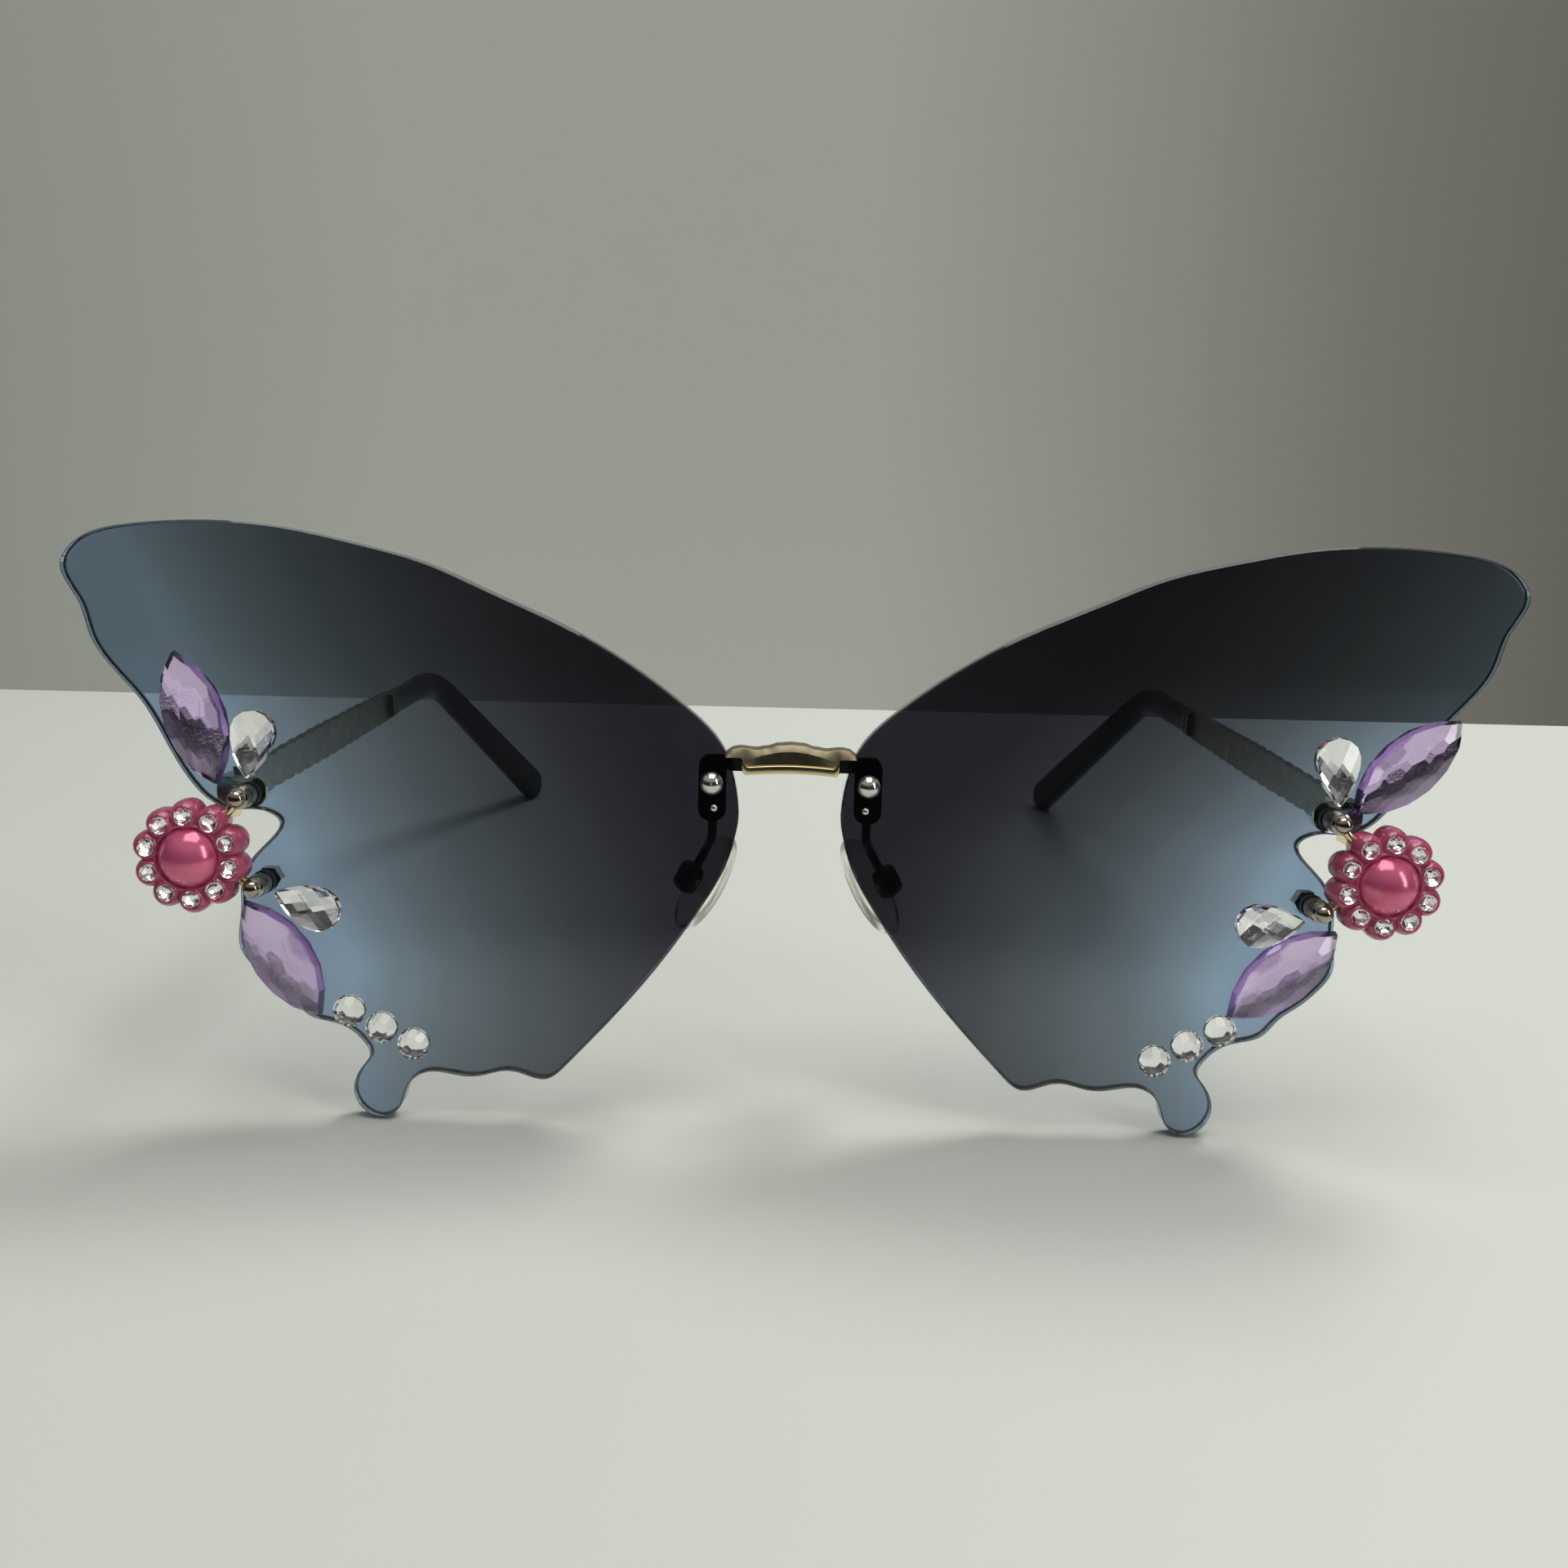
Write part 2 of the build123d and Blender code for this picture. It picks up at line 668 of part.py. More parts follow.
def make_ferrule():
    """A sleeve over the joint between blade and tip, with a groove round its middle."""
    start = blade_end()
    across = Plane(origin=(0, start, 0), x_dir=(1, 0, 0), z_dir=(0, 1, 0))
    section = RectangleRounded(ferrule_thickness, ferrule_height, ferrule_corner)
    sleeve = across * extrude(section, ferrule_length)
    groove_start = (ferrule_length - ferrule_groove_width) / 2
    middle = Plane(origin=(0, start + groove_start, 0), x_dir=(1, 0, 0), z_dir=(0, 1, 0))
    outer = Rectangle(ferrule_thickness + overrun, ferrule_height + overrun)
    inner_thickness = ferrule_thickness - 2 * ferrule_groove
    inner_height = ferrule_height - 2 * ferrule_groove
    inner = RectangleRounded(inner_thickness, inner_height, ferrule_corner - ferrule_groove)
    sleeve -= middle * extrude(outer - inner, ferrule_groove_width)
    sleeve -= core_slot(start - overrun, start + ferrule_length + overrun)
    return temple_place() * sleeve


def tip_station(share):
    """The tip's cross plane at a share of its path: straight, round the ear bend, then straight."""
    start = blade_end() + ferrule_length
    drop = radians(tip_drop_angle)
    tangent = tip_bend_radius * (1 - cos(drop)) / sin(drop)
    before = tip_bend_reach - tangent - start
    bend = tip_bend_radius * drop
    after = tip_drop_length - tangent - tip_end_height / 2
    distance = share * (before + bend + after)
    turned = min(max((distance - before) / bend, 0), 1)
    beyond = max(distance - before - bend, 0)
    angle = turned * drop
    toe = turned * radians(tip_toe_angle)
    along = start + min(distance, before) + tip_bend_radius * sin(angle) + beyond * cos(angle)
    up = -tip_bend_radius * (1 - cos(angle)) - beyond * sin(angle)
    across = -toe * turned * bend / 2 - beyond * sin(toe)
    direction = (-sin(toe), cos(angle), -sin(angle))
    return Plane(origin=(across, along, up), x_dir=(cos(toe), sin(toe), 0), z_dir=direction)


def tip_height(share):
    """The tip swells towards its rounded end."""
    if share < 0.5:
        return tip_front_height + (tip_bend_height - tip_front_height) * 2 * share
    return tip_bend_height + (tip_end_height - tip_bend_height) * (2 * share - 1)


def make_temple_tip():
    sections = []
    for share in tip_station_shares:
        face = RectangleRounded(tip_thickness, tip_height(share), tip_corner)
        sections.append(tip_station(share) * face)
    body = loft(sections, ruled=True)
    end = tip_station(1)
    half = RectangleRounded(tip_thickness, tip_end_height, tip_corner)
    half &= Pos(0, tip_end_height / 2, 0) * Rectangle(tip_thickness, tip_end_height)
    body += end * revolve(half, axis=Axis.X, revolution_arc=180)
    start = blade_end() + ferrule_length
    body -= core_slot(start - overrun, start + core_length + core_clearance)
    return temple_place() * body


# Stance: the angle at which the tails and the temple tips touch the table together
def stance_angle():
    end = (temple_place() * tip_station(1).location).position
    run = end.Y - lens_thickness
    rise = end.Z
    return degrees(atan2(rise, run) - asin(tip_end_height / 2 / hypot(rise, run)))


def half_pieces(side):
    """Every piece of one half, drawn on the right."""
    pieces = {
        "lens": make_lens(),
        "bridge_bracket": make_bridge_bracket(),
        "bridge_screw": make_bridge_screw(),
        "bridge_nut": make_bridge_nut(),
        "pad_arm": make_pad_arm(),
        "pad_box": make_pad_box(),
        "pad_screw": make_pad_screw(),
        "nose_pad": make_nose_pad(),
        "end_plate": make_end_plate(),
        "hinge_screw": make_hinge_screw(),
        "temple_arm": make_temple_arm(),
        "ferrule": make_ferrule(),
        "temple_tip": make_temple_tip(),
        "post_bolts": make_post_bolts(),
        "post_sleeves": make_post_sleeves(),
        "post_washers": make_post_washers(),
        "post_nuts": make_post_nuts(),
        "flower_pins": make_flower_pins(),
        "flower_base": make_flower_base(),
        "flower_pearl": make_flower_pearl(),
        "flower_crystals": make_flower_crystals(),
        "chatons": make_chatons(),
    }
    for name in stone_places[side]:
        pieces[name] = make_stone(name, side)
    return pieces


def solids_of(shape):
    """The separate solids of a piece or of a list of pieces."""
    shapes = shape if isinstance(shape, list) else [shape]
    return [solid for item in shapes for solid in item.solids()]


def build():
    nodes = {"bridge_bar": solids_of(make_bridge_bar())}
    for side in ("right", "left"):
        for name, shape in half_pieces(side).items():
            solids = solids_of(shape)
            if side == "left":
                solids = [mirror(solid, about=Plane.YZ) for solid in solids]
            nodes[f"{side}_{name}"] = solids
    lean = Rot(-stance_angle(), 0, 0)
    leaned = {name: [lean * solid for solid in solids] for name, solids in nodes.items()}
    box = Compound([solid for solids in leaned.values() for solid in solids]).bounding_box()
    shift = Pos(0, -(box.min.Y + box.max.Y) / 2, -box.min.Z)
    return {name: [shift * solid for solid in solids] for name, solids in leaned.items()}, shift * lean


def main():
    nodes, place = build()
    for name, solids in nodes.items():
        shape = solids[0] if len(solids) == 1 else Compound(solids)
        export_step(shape, f"parts/{name}.step")
    print("stance", round(stance_angle(), 4))
    hinge = Plane(place * Pos(hinge_across, hinge_y, hinge_up))
    print("hinge at", hinge.origin, "axis", hinge.z_dir)
    pad = Plane(place * pad_plane().location)
    print("pad box at", pad.origin, "rocks about", pad.y_dir)


main()
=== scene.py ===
import json
from math import acos, atan2, cos, hypot, pi, radians, sin, sqrt

import bpy
from mathutils import Matrix, Vector


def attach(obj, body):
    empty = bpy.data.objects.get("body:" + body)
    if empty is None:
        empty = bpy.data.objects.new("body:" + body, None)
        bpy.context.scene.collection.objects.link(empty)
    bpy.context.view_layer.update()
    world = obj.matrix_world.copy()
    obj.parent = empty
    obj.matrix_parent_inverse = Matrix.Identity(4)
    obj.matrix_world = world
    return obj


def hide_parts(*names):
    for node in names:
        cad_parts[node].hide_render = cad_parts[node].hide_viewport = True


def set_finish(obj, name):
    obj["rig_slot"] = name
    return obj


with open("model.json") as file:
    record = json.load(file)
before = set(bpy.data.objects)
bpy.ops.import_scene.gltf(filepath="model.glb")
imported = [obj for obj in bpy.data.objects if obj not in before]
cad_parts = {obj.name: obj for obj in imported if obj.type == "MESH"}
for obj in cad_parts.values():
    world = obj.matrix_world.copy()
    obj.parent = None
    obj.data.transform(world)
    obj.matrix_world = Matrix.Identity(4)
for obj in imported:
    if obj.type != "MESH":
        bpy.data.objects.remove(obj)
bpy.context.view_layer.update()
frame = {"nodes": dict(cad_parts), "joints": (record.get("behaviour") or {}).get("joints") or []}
nodes = frame["nodes"]
print("frame loaded:", len(nodes), "nodes")

# The pieces are modelled in millimetres on an upright lens, then scaled and leaned into the frame.
# X runs across from the nose, Y back from the lens's front face and Z up along the lens.
millimetre = 0.001
hinge = next(joint for joint in frame["joints"] if joint["name"] == "right_temple_hinge")
stance = {
    "lean": atan2(hinge["axis"][1], hinge["axis"][2]),
    "y": -70.573,
    "z": 0.327,
}
stancePlace = Matrix.Translation((0, stance["y"], stance["z"])) @ Matrix.Rotation(-stance["lean"], 4, "X")

# Points nearer than these, in millimetres, count as one when faces are welded and when stones are cut
weldDistance = 0.0005
cutDistance = 0.00001


# Modelling helpers
def deselectAll():
    if bpy.context.object and bpy.context.object.mode != "OBJECT":
        bpy.ops.object.mode_set(mode="OBJECT")
    bpy.ops.object.select_all(action="DESELECT")


def choose(*pieces):
    deselectAll()
    for piece in pieces:
        piece.select_set(True)
    bpy.context.view_layer.objects.active = pieces[0]


def newest(scale=(1, 1, 1)):
    # The piece that was just added, stretched, with its size, turn and place in its points
    piece = bpy.context.object
    piece.scale = scale
    bpy.ops.object.transform_apply(location=True, rotation=True, scale=True)
    return piece


def editAll(piece):
    choose(piece)
    bpy.ops.object.mode_set(mode="EDIT")
    bpy.ops.mesh.select_all(action="SELECT")


def applyPlace(piece, place):
    choose(piece)
    piece.matrix_world = place @ piece.matrix_world
    bpy.ops.object.transform_apply(location=True, rotation=True, scale=True)


def copyOf(piece):
    choose(piece)
    bpy.ops.object.duplicate()
    return bpy.context.object


def joined(pieces):
    choose(*pieces)
    bpy.ops.object.join()
    return bpy.context.object


def smoothed(piece, degrees):
    # Edges that turn by less than this are shaded round
    choose(piece)
    bpy.ops.object.shade_smooth_by_angle(angle=radians(degrees))
    return piece


def applied(piece, kind, **settings):
    choose(piece)
    modifier = piece.modifiers.new(kind.lower(), kind)
    for key, value in settings.items():
        setattr(modifier, key, value)
    bpy.ops.object.modifier_apply(modifier=modifier.name)
    return piece


def selectFaces(piece, wanted):
    bpy.ops.mesh.select_all(action="DESELECT")
    bpy.ops.object.mode_set(mode="OBJECT")
    for face in piece.data.polygons:
        face.select = wanted(face)
    bpy.ops.object.mode_set(mode="EDIT")
    bpy.ops.mesh.select_mode(type="FACE")


def selectPoints(piece, wanted):
    bpy.ops.mesh.select_mode(type="VERT")
    bpy.ops.mesh.select_all(action="DESELECT")
    bpy.ops.object.mode_set(mode="OBJECT")
    for point in piece.data.vertices:
        point.select = wanted(point.co)
    bpy.ops.object.mode_set(mode="EDIT")


def facesOutward(piece):
    editAll(piece)
    bpy.ops.mesh.remove_doubles(threshold=weldDistance)
    bpy.ops.mesh.normals_make_consistent(inside=False)
    bpy.ops.object.mode_set(mode="OBJECT")


def blankBlock(length, width, low, high):
    # A box over the middle, between two heights
    deselectAll()
    bpy.ops.mesh.primitive_cube_add(size=1, location=(0, 0, (low + high) / 2))
    return newest((length, width, high - low))


def turned(profile, segments, across=0):
    # A round shape standing on the XY plane, from its foot up; profile holds (height, radius)
    deselectAll()
    height, radius = profile[0]
    bpy.ops.mesh.primitive_circle_add(vertices=segments, radius=radius, fill_type="NGON",
                                      location=(across, 0, height))
    shape = newest()
    editAll(shape)
    for nextHeight, nextRadius in profile[1:]:
        bpy.ops.mesh.extrude_region_move(TRANSFORM_OT_translate={"value": (0, 0, nextHeight - height)})
        share = nextRadius / radius
        bpy.ops.transform.resize(value=(share, share, 1), center_override=(across, 0, nextHeight))
        height, radius = nextHeight, nextRadius
    bpy.ops.object.mode_set(mode="OBJECT")
    facesOutward(shape)
    return shape


def settled(piece, name, slot, *replaced):
    # From upright millimetres to the frame's metres, with the piece named and on the front
    applyPlace(piece, Matrix.Scale(millimetre, 4) @ stancePlace)
    piece.name = name
    piece.data.name = name
    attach(piece, "front")
    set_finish(piece, slot)
    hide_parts(*replaced)
    return piece


def onLens(side, across, up, turn=0, forward=0):
    # A place on the lens for a piece that was modelled lying on the XY plane, facing up
    sign = 1 if side == "right" else -1
    angle = turn if side == "right" else 180 - turn
    stand = Matrix.Rotation(radians(90), 4, "X") @ Matrix.Rotation(radians(angle), 4, "Z")
    return Matrix.Translation((sign * across, -forward, up)) @ stand


# Material helpers
def linear(hexText):
    channels = [int(hexText[start:start + 2], 16) / 255 for start in (1, 3, 5)]
    values = [c / 12.92 if c <= 0.04045 else ((c + 0.055) / 1.055) ** 2.4 for c in channels]
    return (*values, 1)


def grey(value):
    return (value, value, value, 1)


def addNode(tree, kind, links=None, values=None, stops=(), **settings):
    # In links a node stands for its first output; stops holds a colour ramp's (place, colour) pairs
    node = tree.nodes.new(kind)
    for key, value in settings.items():
        setattr(node, key, value)
    for key, value in (values or {}).items():
        node.inputs[key].default_value = value
    for key, source in (links or {}).items():
        tree.links.new(getattr(source, "outputs", [source])[0], node.inputs[key])
    if stops:
        elements = node.color_ramp.elements
        while len(elements) < len(stops):
            elements.new(0.5)
        for element, (place, colour) in zip(elements, stops):
            element.position = place
            element.color = colour
    return node


def spreadStops(stops, low, high):
    # The stops' places become shares of the way from low to high, and their colours linear
    return [((place - low) / (high - low), linear(tone)) for place, tone in stops]


def newMaterial(name, **values):
    material = bpy.data.materials.new(name)
    material.use_nodes = True
    shader = material.node_tree.nodes["Principled BSDF"]
    for key, value in values.items():
        shader.inputs[key.replace("_", " ")].default_value = value
    return material, material.node_tree, shader


def patches(tree, size, low, high, spread=0.2, detail=3):
    # Soft patches about size millimetres across, from the colour low to high; less spread is sharper
    coordinate = addNode(tree, "ShaderNodeTexCoord")
    noise = addNode(tree, "ShaderNodeTexNoise", {"Vector": coordinate.outputs["Object"]},
                    {"Scale": 1 / (size * millimetre), "Detail": detail, "Roughness": 0.5})
    shade = addNode(tree, "ShaderNodeValToRGB", {"Fac": noise.outputs["Fac"]},
                    stops=[(0.5 - spread, low), (0.5 + spread, high)])
    return noise.outputs["Fac"], shade.outputs["Color"]


def addFinish(tree, shader, size, rough, depth=0, strength=1, height=None):
    # Patches vary the roughness, and they or a given height raise the surface by depth millimetres
    patchHeight, shade = patches(tree, size, grey(rough[0]), grey(rough[1]))
    tree.links.new(shade, shader.inputs["Roughness"])
    if depth:
        bump = addNode(tree, "ShaderNodeBump", {"Height": patchHeight if height is None else height},
                       {"Strength": strength, "Distance": depth * millimetre})
        tree.links.new(bump.outputs["Normal"], shader.inputs["Normal"])


# Materials
# Cast acrylic sheet, dip dyed in a gradient: nearly black beside the nose, slate blue at the wing tips
lensTint = {
    # The tint's place in the stops rises with the distance from the nose and falls with the height above
    # a low line; distances are in millimetres
    "perAcross": 0.054, "perUp": -0.029, "base": -3.60, "lowLine": 19.0,
    # On the right lens, between these heights, the place falls by this much more, so that lens is darker
    # there
    "rightFrom": 34.0, "rightTo": 56.0, "rightMore": -0.70,
    "deepest": -4.2, "palest": -1.3,
    "stops": [(-4.0, "#2b2d34"), (-3.5, "#363840"), (-2.9, "#494d56"), (-2.4, "#5c656f"),
              (-1.95, "#727f8e"), (-1.6, "#8799ac"), (-1.35, "#97afcb")],
    "smudge": 14, "smudgeRough": (0.0, 0.03),
    # The sawn edge, between the two faces, is painted darkest: painted shade for the dark band that light
    # inside the sheet gives it
    "thickness": 2.4, "faceMargin": 0.03,
}


def makeTintedAcrylic():
    material, tree, shader = newMaterial("tinted acrylic sheet, dip dyed", Roughness=0.0, IOR=1.49,
                                         Transmission_Weight=1.0)
    coordinate = addNode(tree, "ShaderNodeTexCoord")
    parts = addNode(tree, "ShaderNodeSeparateXYZ", {"Vector": coordinate.outputs["Object"]})
    across = addNode(tree, "ShaderNodeMath", {0: parts.outputs["X"]}, operation="ABSOLUTE")
    height = addNode(tree, "ShaderNodeMath", {0: parts.outputs["Z"]},
                     {1: lensTint["lowLine"] * millimetre}, operation="MAXIMUM")
    fromAcross = addNode(tree, "ShaderNodeMath", {0: across},
                         {1: lensTint["perAcross"] / millimetre, 2: lensTint["base"]},
                         operation="MULTIPLY_ADD")
    evenDye = addNode(tree, "ShaderNodeMath", {0: height, 2: fromAcross},
                      {1: lensTint["perUp"] / millimetre}, operation="MULTIPLY_ADD")
    isRight = addNode(tree, "ShaderNodeMath", {0: parts.outputs["X"]}, {1: 0.0}, operation="GREATER_THAN")
    deeper = addNode(tree, "ShaderNodeMapRange", {"Value": parts.outputs["Z"]},
                     {"From Min": lensTint["rightFrom"] * millimetre,
                      "From Max": lensTint["rightTo"] * millimetre, "To Max": lensTint["rightMore"]})
    dye = addNode(tree, "ShaderNodeMath", {0: isRight, 1: deeper, 2: evenDye}, operation="MULTIPLY_ADD")
    low, high = lensTint["deepest"], lensTint["palest"]
    share = addNode(tree, "ShaderNodeMapRange", {"Value": dye}, {"From Min": low, "From Max": high})
    # How far a place lies behind the front face tells the edge from the faces
    inward = Vector((0, cos(stance["lean"]), -sin(stance["lean"])))
    middle = inward.dot((0, stance["y"], stance["z"])) + lensTint["thickness"] / 2
    within = lensTint["thickness"] / 2 - lensTint["faceMargin"]
    behind = addNode(tree, "ShaderNodeVectorMath", {0: coordinate.outputs["Object"]}, {1: inward},
                     operation="DOT_PRODUCT")
    edge = addNode(tree, "ShaderNodeMath", {0: behind.outputs["Value"]},
                   {1: middle * millimetre, 2: within * millimetre}, operation="COMPARE")
    # Taking the edge off the place paints the sawn edge darkest, as painted shade
    dyed = addNode(tree, "ShaderNodeMath", {0: share, 1: edge}, operation="SUBTRACT")
    tint = addNode(tree, "ShaderNodeValToRGB", {"Fac": dyed},
                   stops=spreadStops(lensTint["stops"], low, high))
    tree.links.new(tint.outputs["Color"], shader.inputs["Base Color"])
    # Wiping marks, only just visible in reflections
    addFinish(tree, shader, lensTint["smudge"], lensTint["smudgeRough"])
    return material


# Zinc casting, polished and plated pale gold
def makeGoldMetal():
    material, tree, shader = newMaterial("polished pale gold plate", Base_Color=linear("#d6c8a0"),
                                         Metallic=1.0)
    # Polishing waves give the broken edge of each highlight
    addFinish(tree, shader, size=1.5, rough=(0.10, 0.20), depth=0.02, strength=0.5)
    return material


# The same plate, tumbled to a satin face, with its colour painted darker as painted shade
def makeShadedSatinGold():
    material, tree, shader = newMaterial("satin pale gold plate, painted darker", Base_Color=linear("#787059"),
                                         Metallic=1.0)
    # Tumbling leaves a fine even haze that spreads every reflection
    addFinish(tree, shader, size=0.6, rough=(0.34, 0.44), depth=0.01, strength=0.3)
    return material


# Steel wire and plate, dipped in black lacquer
def makeBlackMetal():
    material, tree, shader = newMaterial("black lacquered steel", Base_Color=linear("#0c0c0e"),
                                         Coat_Weight=0.6, Coat_Roughness=0.08)
    # Orange peel in the lacquer breaks up long highlights
    addFinish(tree, shader, size=0.8, rough=(0.25, 0.38), depth=0.01, strength=0.5)
    return material


# Turned brass, plated with a bright metal
def makeBrightMetal(name, hexText):
    material, tree, shader = newMaterial(name, Base_Color=linear(hexText), Metallic=1.0)
    # Fine scratches dull the mirror a little in patches
    addFinish(tree, shader, size=0.5, rough=(0.04, 0.12))
    return material


# Turned brass, plated dark nickel; real turning marks are too fine to show and are drawn wider apart
darkNickel = {"markSpacing": 0.35}


def makeDarkChrome():
    material, tree, shader = newMaterial("dark nickel plate", Base_Color=linear("#7d7565"), Metallic=1.0)
    coordinate = addNode(tree, "ShaderNodeTexCoord")
    # The marks run round the barrel; a band of the wave texture is pi / 10 wide at a scale of 1
    rings = addNode(tree, "ShaderNodeTexWave", {"Vector": coordinate.outputs["Object"]},
                    {"Scale": pi / 10 / (darkNickel["markSpacing"] * millimetre), "Distortion": 1.0},
                    bands_direction="Y")
    addFinish(tree, shader, size=0.6, rough=(0.22, 0.34), depth=0.01, strength=0.3,
              height=rings.outputs["Fac"])
    return material


# Stamped nickel silver strip, plated light bronze, with a face of small pebbles
lightBronze = {"pebble": 0.7}


def makeTempleMetal():
    material, tree, shader = newMaterial("stamped bronze plate", Base_Color=linear("#968e80"),
                                         Metallic=1.0)
    coordinate = addNode(tree, "ShaderNodeTexCoord")
    pebbles = addNode(tree, "ShaderNodeTexVoronoi", {"Vector": coordinate.outputs["Object"]},
                      {"Scale": 1 / (lightBronze["pebble"] * millimetre)}, feature="SMOOTH_F1")
    # The pebbles scatter the light as the stamped face does
    addFinish(tree, shader, size=2.0, rough=(0.25, 0.4), depth=0.12, strength=0.6,
              height=pebbles.outputs["Distance"])
    return material


# Injection moulded acetate, glossy black
def makeBlackAcetate():
    material, tree, shader = newMaterial("glossy black acetate", Base_Color=linear("#050506"), IOR=1.48)
    # Slight sink marks make long reflections waver
    addFinish(tree, shader, size=6.0, rough=(0.10, 0.2), depth=0.05, strength=0.4)
    return material


# Moulded nylon washers, satin black
def makeBlackNylon():
    material, tree, shader = newMaterial("moulded black nylon", Base_Color=linear("#0b0c0d"), IOR=1.53)
    # The mould's fine grain spreads each highlight
    addFinish(tree, shader, size=0.4, rough=(0.35, 0.5), depth=0.01, strength=0.5)
    return material


# Moulded silicone, clear with a faint haze
def makeClearSilicone():
    material, tree, shader = newMaterial("clear moulded silicone", Base_Color=linear("#f1efe9"), IOR=1.41,
                                         Transmission_Weight=1.0)
    # Haze is stronger where fingers have touched the pad
    addFinish(tree, shader, size=3.0, rough=(0.12, 0.3))
    return material


# Polyester resin cast in a rubber mould, tinted raspberry and slightly see-through
resin = {"colour": "#cf5a80", "deep": "#b04468", "scatter": 1.6, "cloud": 2.5}


def makeRaspberryResin():
    material, tree, shader = newMaterial("cast raspberry resin", IOR=1.55, Transmission_Weight=0.2,
                                         Subsurface_Weight=0.6, Subsurface_Radius=(1.0, 0.3, 0.35),
                                         Subsurface_Scale=resin["scatter"] * millimetre,
                                         Coat_Weight=0.5, Coat_Roughness=0.04)
    # The dye clouds a little from petal to petal
    _, tint = patches(tree, resin["cloud"], linear(resin["deep"]), linear(resin["colour"]), spread=0.15)
    tree.links.new(tint, shader.inputs["Base Color"])
    addFinish(tree, shader, size=1.2, rough=(0.12, 0.22))
    return material


# Pressed plastic pearl under a coat of pearl lacquer, whose film is in nanometres
pearl = {"colour": "#cf4f79", "light": "#e06c92", "film": 420.0, "drift": 3.0}


def makeRaspberryPearl():
    material, tree, shader = newMaterial("raspberry pearl lacquer", Metallic=0.35, Coat_Weight=0.5,
                                         Coat_Roughness=0.06, Coat_IOR=1.5,
                                         Thin_Film_Thickness=pearl["film"], Thin_Film_IOR=1.38)
    # Mica in the lacquer drifts in soft bands
    _, tint = patches(tree, pearl["drift"], linear(pearl["colour"]), linear(pearl["light"]), spread=0.15,
                      detail=4)
    tree.links.new(tint, shader.inputs["Base Color"])
    addFinish(tree, shader, size=0.8, rough=(0.16, 0.24))
    return material


# Moulded acrylic stones, faceted in the mould
def makeStone(name, hexText):
    material, tree, shader = newMaterial(name, Base_Color=linear(hexText), IOR=1.49,
                                         Transmission_Weight=1.0)
    # Flow lines in the acrylic blur the facets very slightly
    addFinish(tree, shader, size=1.0, rough=(0.0, 0.03))
    return material


# Silver foil, hot pressed on the flat back of each stone
def makeFoil(name, hexText, rough):
    material, tree, shader = newMaterial(name, Base_Color=linear(hexText), Metallic=1.0, Coat_Weight=1.0,
                                         Coat_Roughness=0.0, Coat_IOR=1.5)
    # Creases in the foil scatter each facet's reflection
    addFinish(tree, shader, size=0.3, rough=rough, depth=0.02, strength=0.3)
    return material


materials = {
    "tinted_acrylic": makeTintedAcrylic(),
    "gold_metal": makeGoldMetal(),
    "black_metal": makeBlackMetal(),
    "bright_metal": makeBrightMetal("bright chrome plate", "#d2d0ca"),
    "dark_chrome": makeDarkChrome(),
    "temple_metal": makeTempleMetal(),
    "black_acetate": makeBlackAcetate(),
    "black_nylon": makeBlackNylon(),
    "clear_silicone": makeClearSilicone(),
    "raspberry_resin": makeRaspberryResin(),
    "raspberry_pearl": makeRaspberryPearl(),
    "clear_stone": makeStone("clear moulded acrylic stone", "#fbfbfd"),
    "lilac_stone": makeStone("lilac moulded acrylic stone", "#d9c4ea"),
}
# Finishes that share a slot with one above
violetWall = makeStone("deep violet acrylic stone wall", "#6d4899")
silverFoil = makeFoil("silver foil behind a clear stone", "#f2f2f0", (0.03, 0.12))
# A lighter, rougher copy of the silver foil for the lower navettes: painted light for the bright floor
# they mirror
litSoftFoil = makeFoil("soft silver foil behind a stone, painted lighter", "#fafaf8", (0.17, 0.25))
shadedSatinGold = makeShadedSatinGold()
warmNickel = makeBrightMetal("warm nickel plate", "#a39b8e")


def dress(piece, *chosen):
    piece.data.materials.clear()
    for material in chosen:
        piece.data.materials.append(material)


for node in nodes.values():
    slotName = node.get("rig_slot") or node.data.materials[0].name
    dress(node, materials[slotName])
print("materials made, nodes dressed:", len(nodes))


# Cut stones: a blank block, and one cut for each facet
def cut(block, point, normal):
    # Takes away what lies beyond the plane and closes the cut with one facet
    editAll(block)
    bpy.ops.mesh.bisect(plane_co=point, plane_no=normal, use_fill=True, clear_outer=True,
                        threshold=cutDistance)
    bpy.ops.object.mode_set(mode="OBJECT")


def cutAround(block, radius, angle, height, outward, upward):
    # One facet of a round stone, through the place at this angle and height, facing outward and upward
    cut(block, (radius * cos(angle), radius * sin(angle), height),
        (outward * cos(angle), outward * sin(angle), upward))


def cutWalls(block, outline, lean):
    # outline holds (x, y, direction) of each wall's middle
    for x, y, direction in outline:
        cut(block, (x, y, 0), (cos(direction), sin(direction), lean))


def cutCrown(block, spots, crown):
    # Each facet touches a dome at its spot; crown gives the dome's half axes, its height and its foot
    for x, y in spots:
        shareX, shareY = x / crown["x"], y / crown["y"]
        height = crown["foot"] + crown["height"] * (1 - shareX ** 2 - shareY ** 2)
        slopeX = 2 * crown["height"] * shareX / crown["x"]
        slopeY = 2 * crown["height"] * shareY / crown["y"]
        cut(block, (x, y, height), (slopeX, slopeY, 1))


# Pointed ovals; each stone's foot is the height of its walls, and its block is larger by a margin
navette = {
    "length": 16.0, "width": 6.95, "height": 3.15, "foot": 0.75, "wallLean": 0.12, "margin": 1.0,
    "walls": 6, "columns": 5, "rows": 3, "insideShare": 0.98, "domeShare": 1.15, "gap": 0.02,
}


def navetteArc():
    # Half the stone's length and width, and the radius of the two arcs that bound it
    half, side = navette["length"] / 2, navette["width"] / 2
    return half, side, (half ** 2 + side ** 2) / (2 * side)


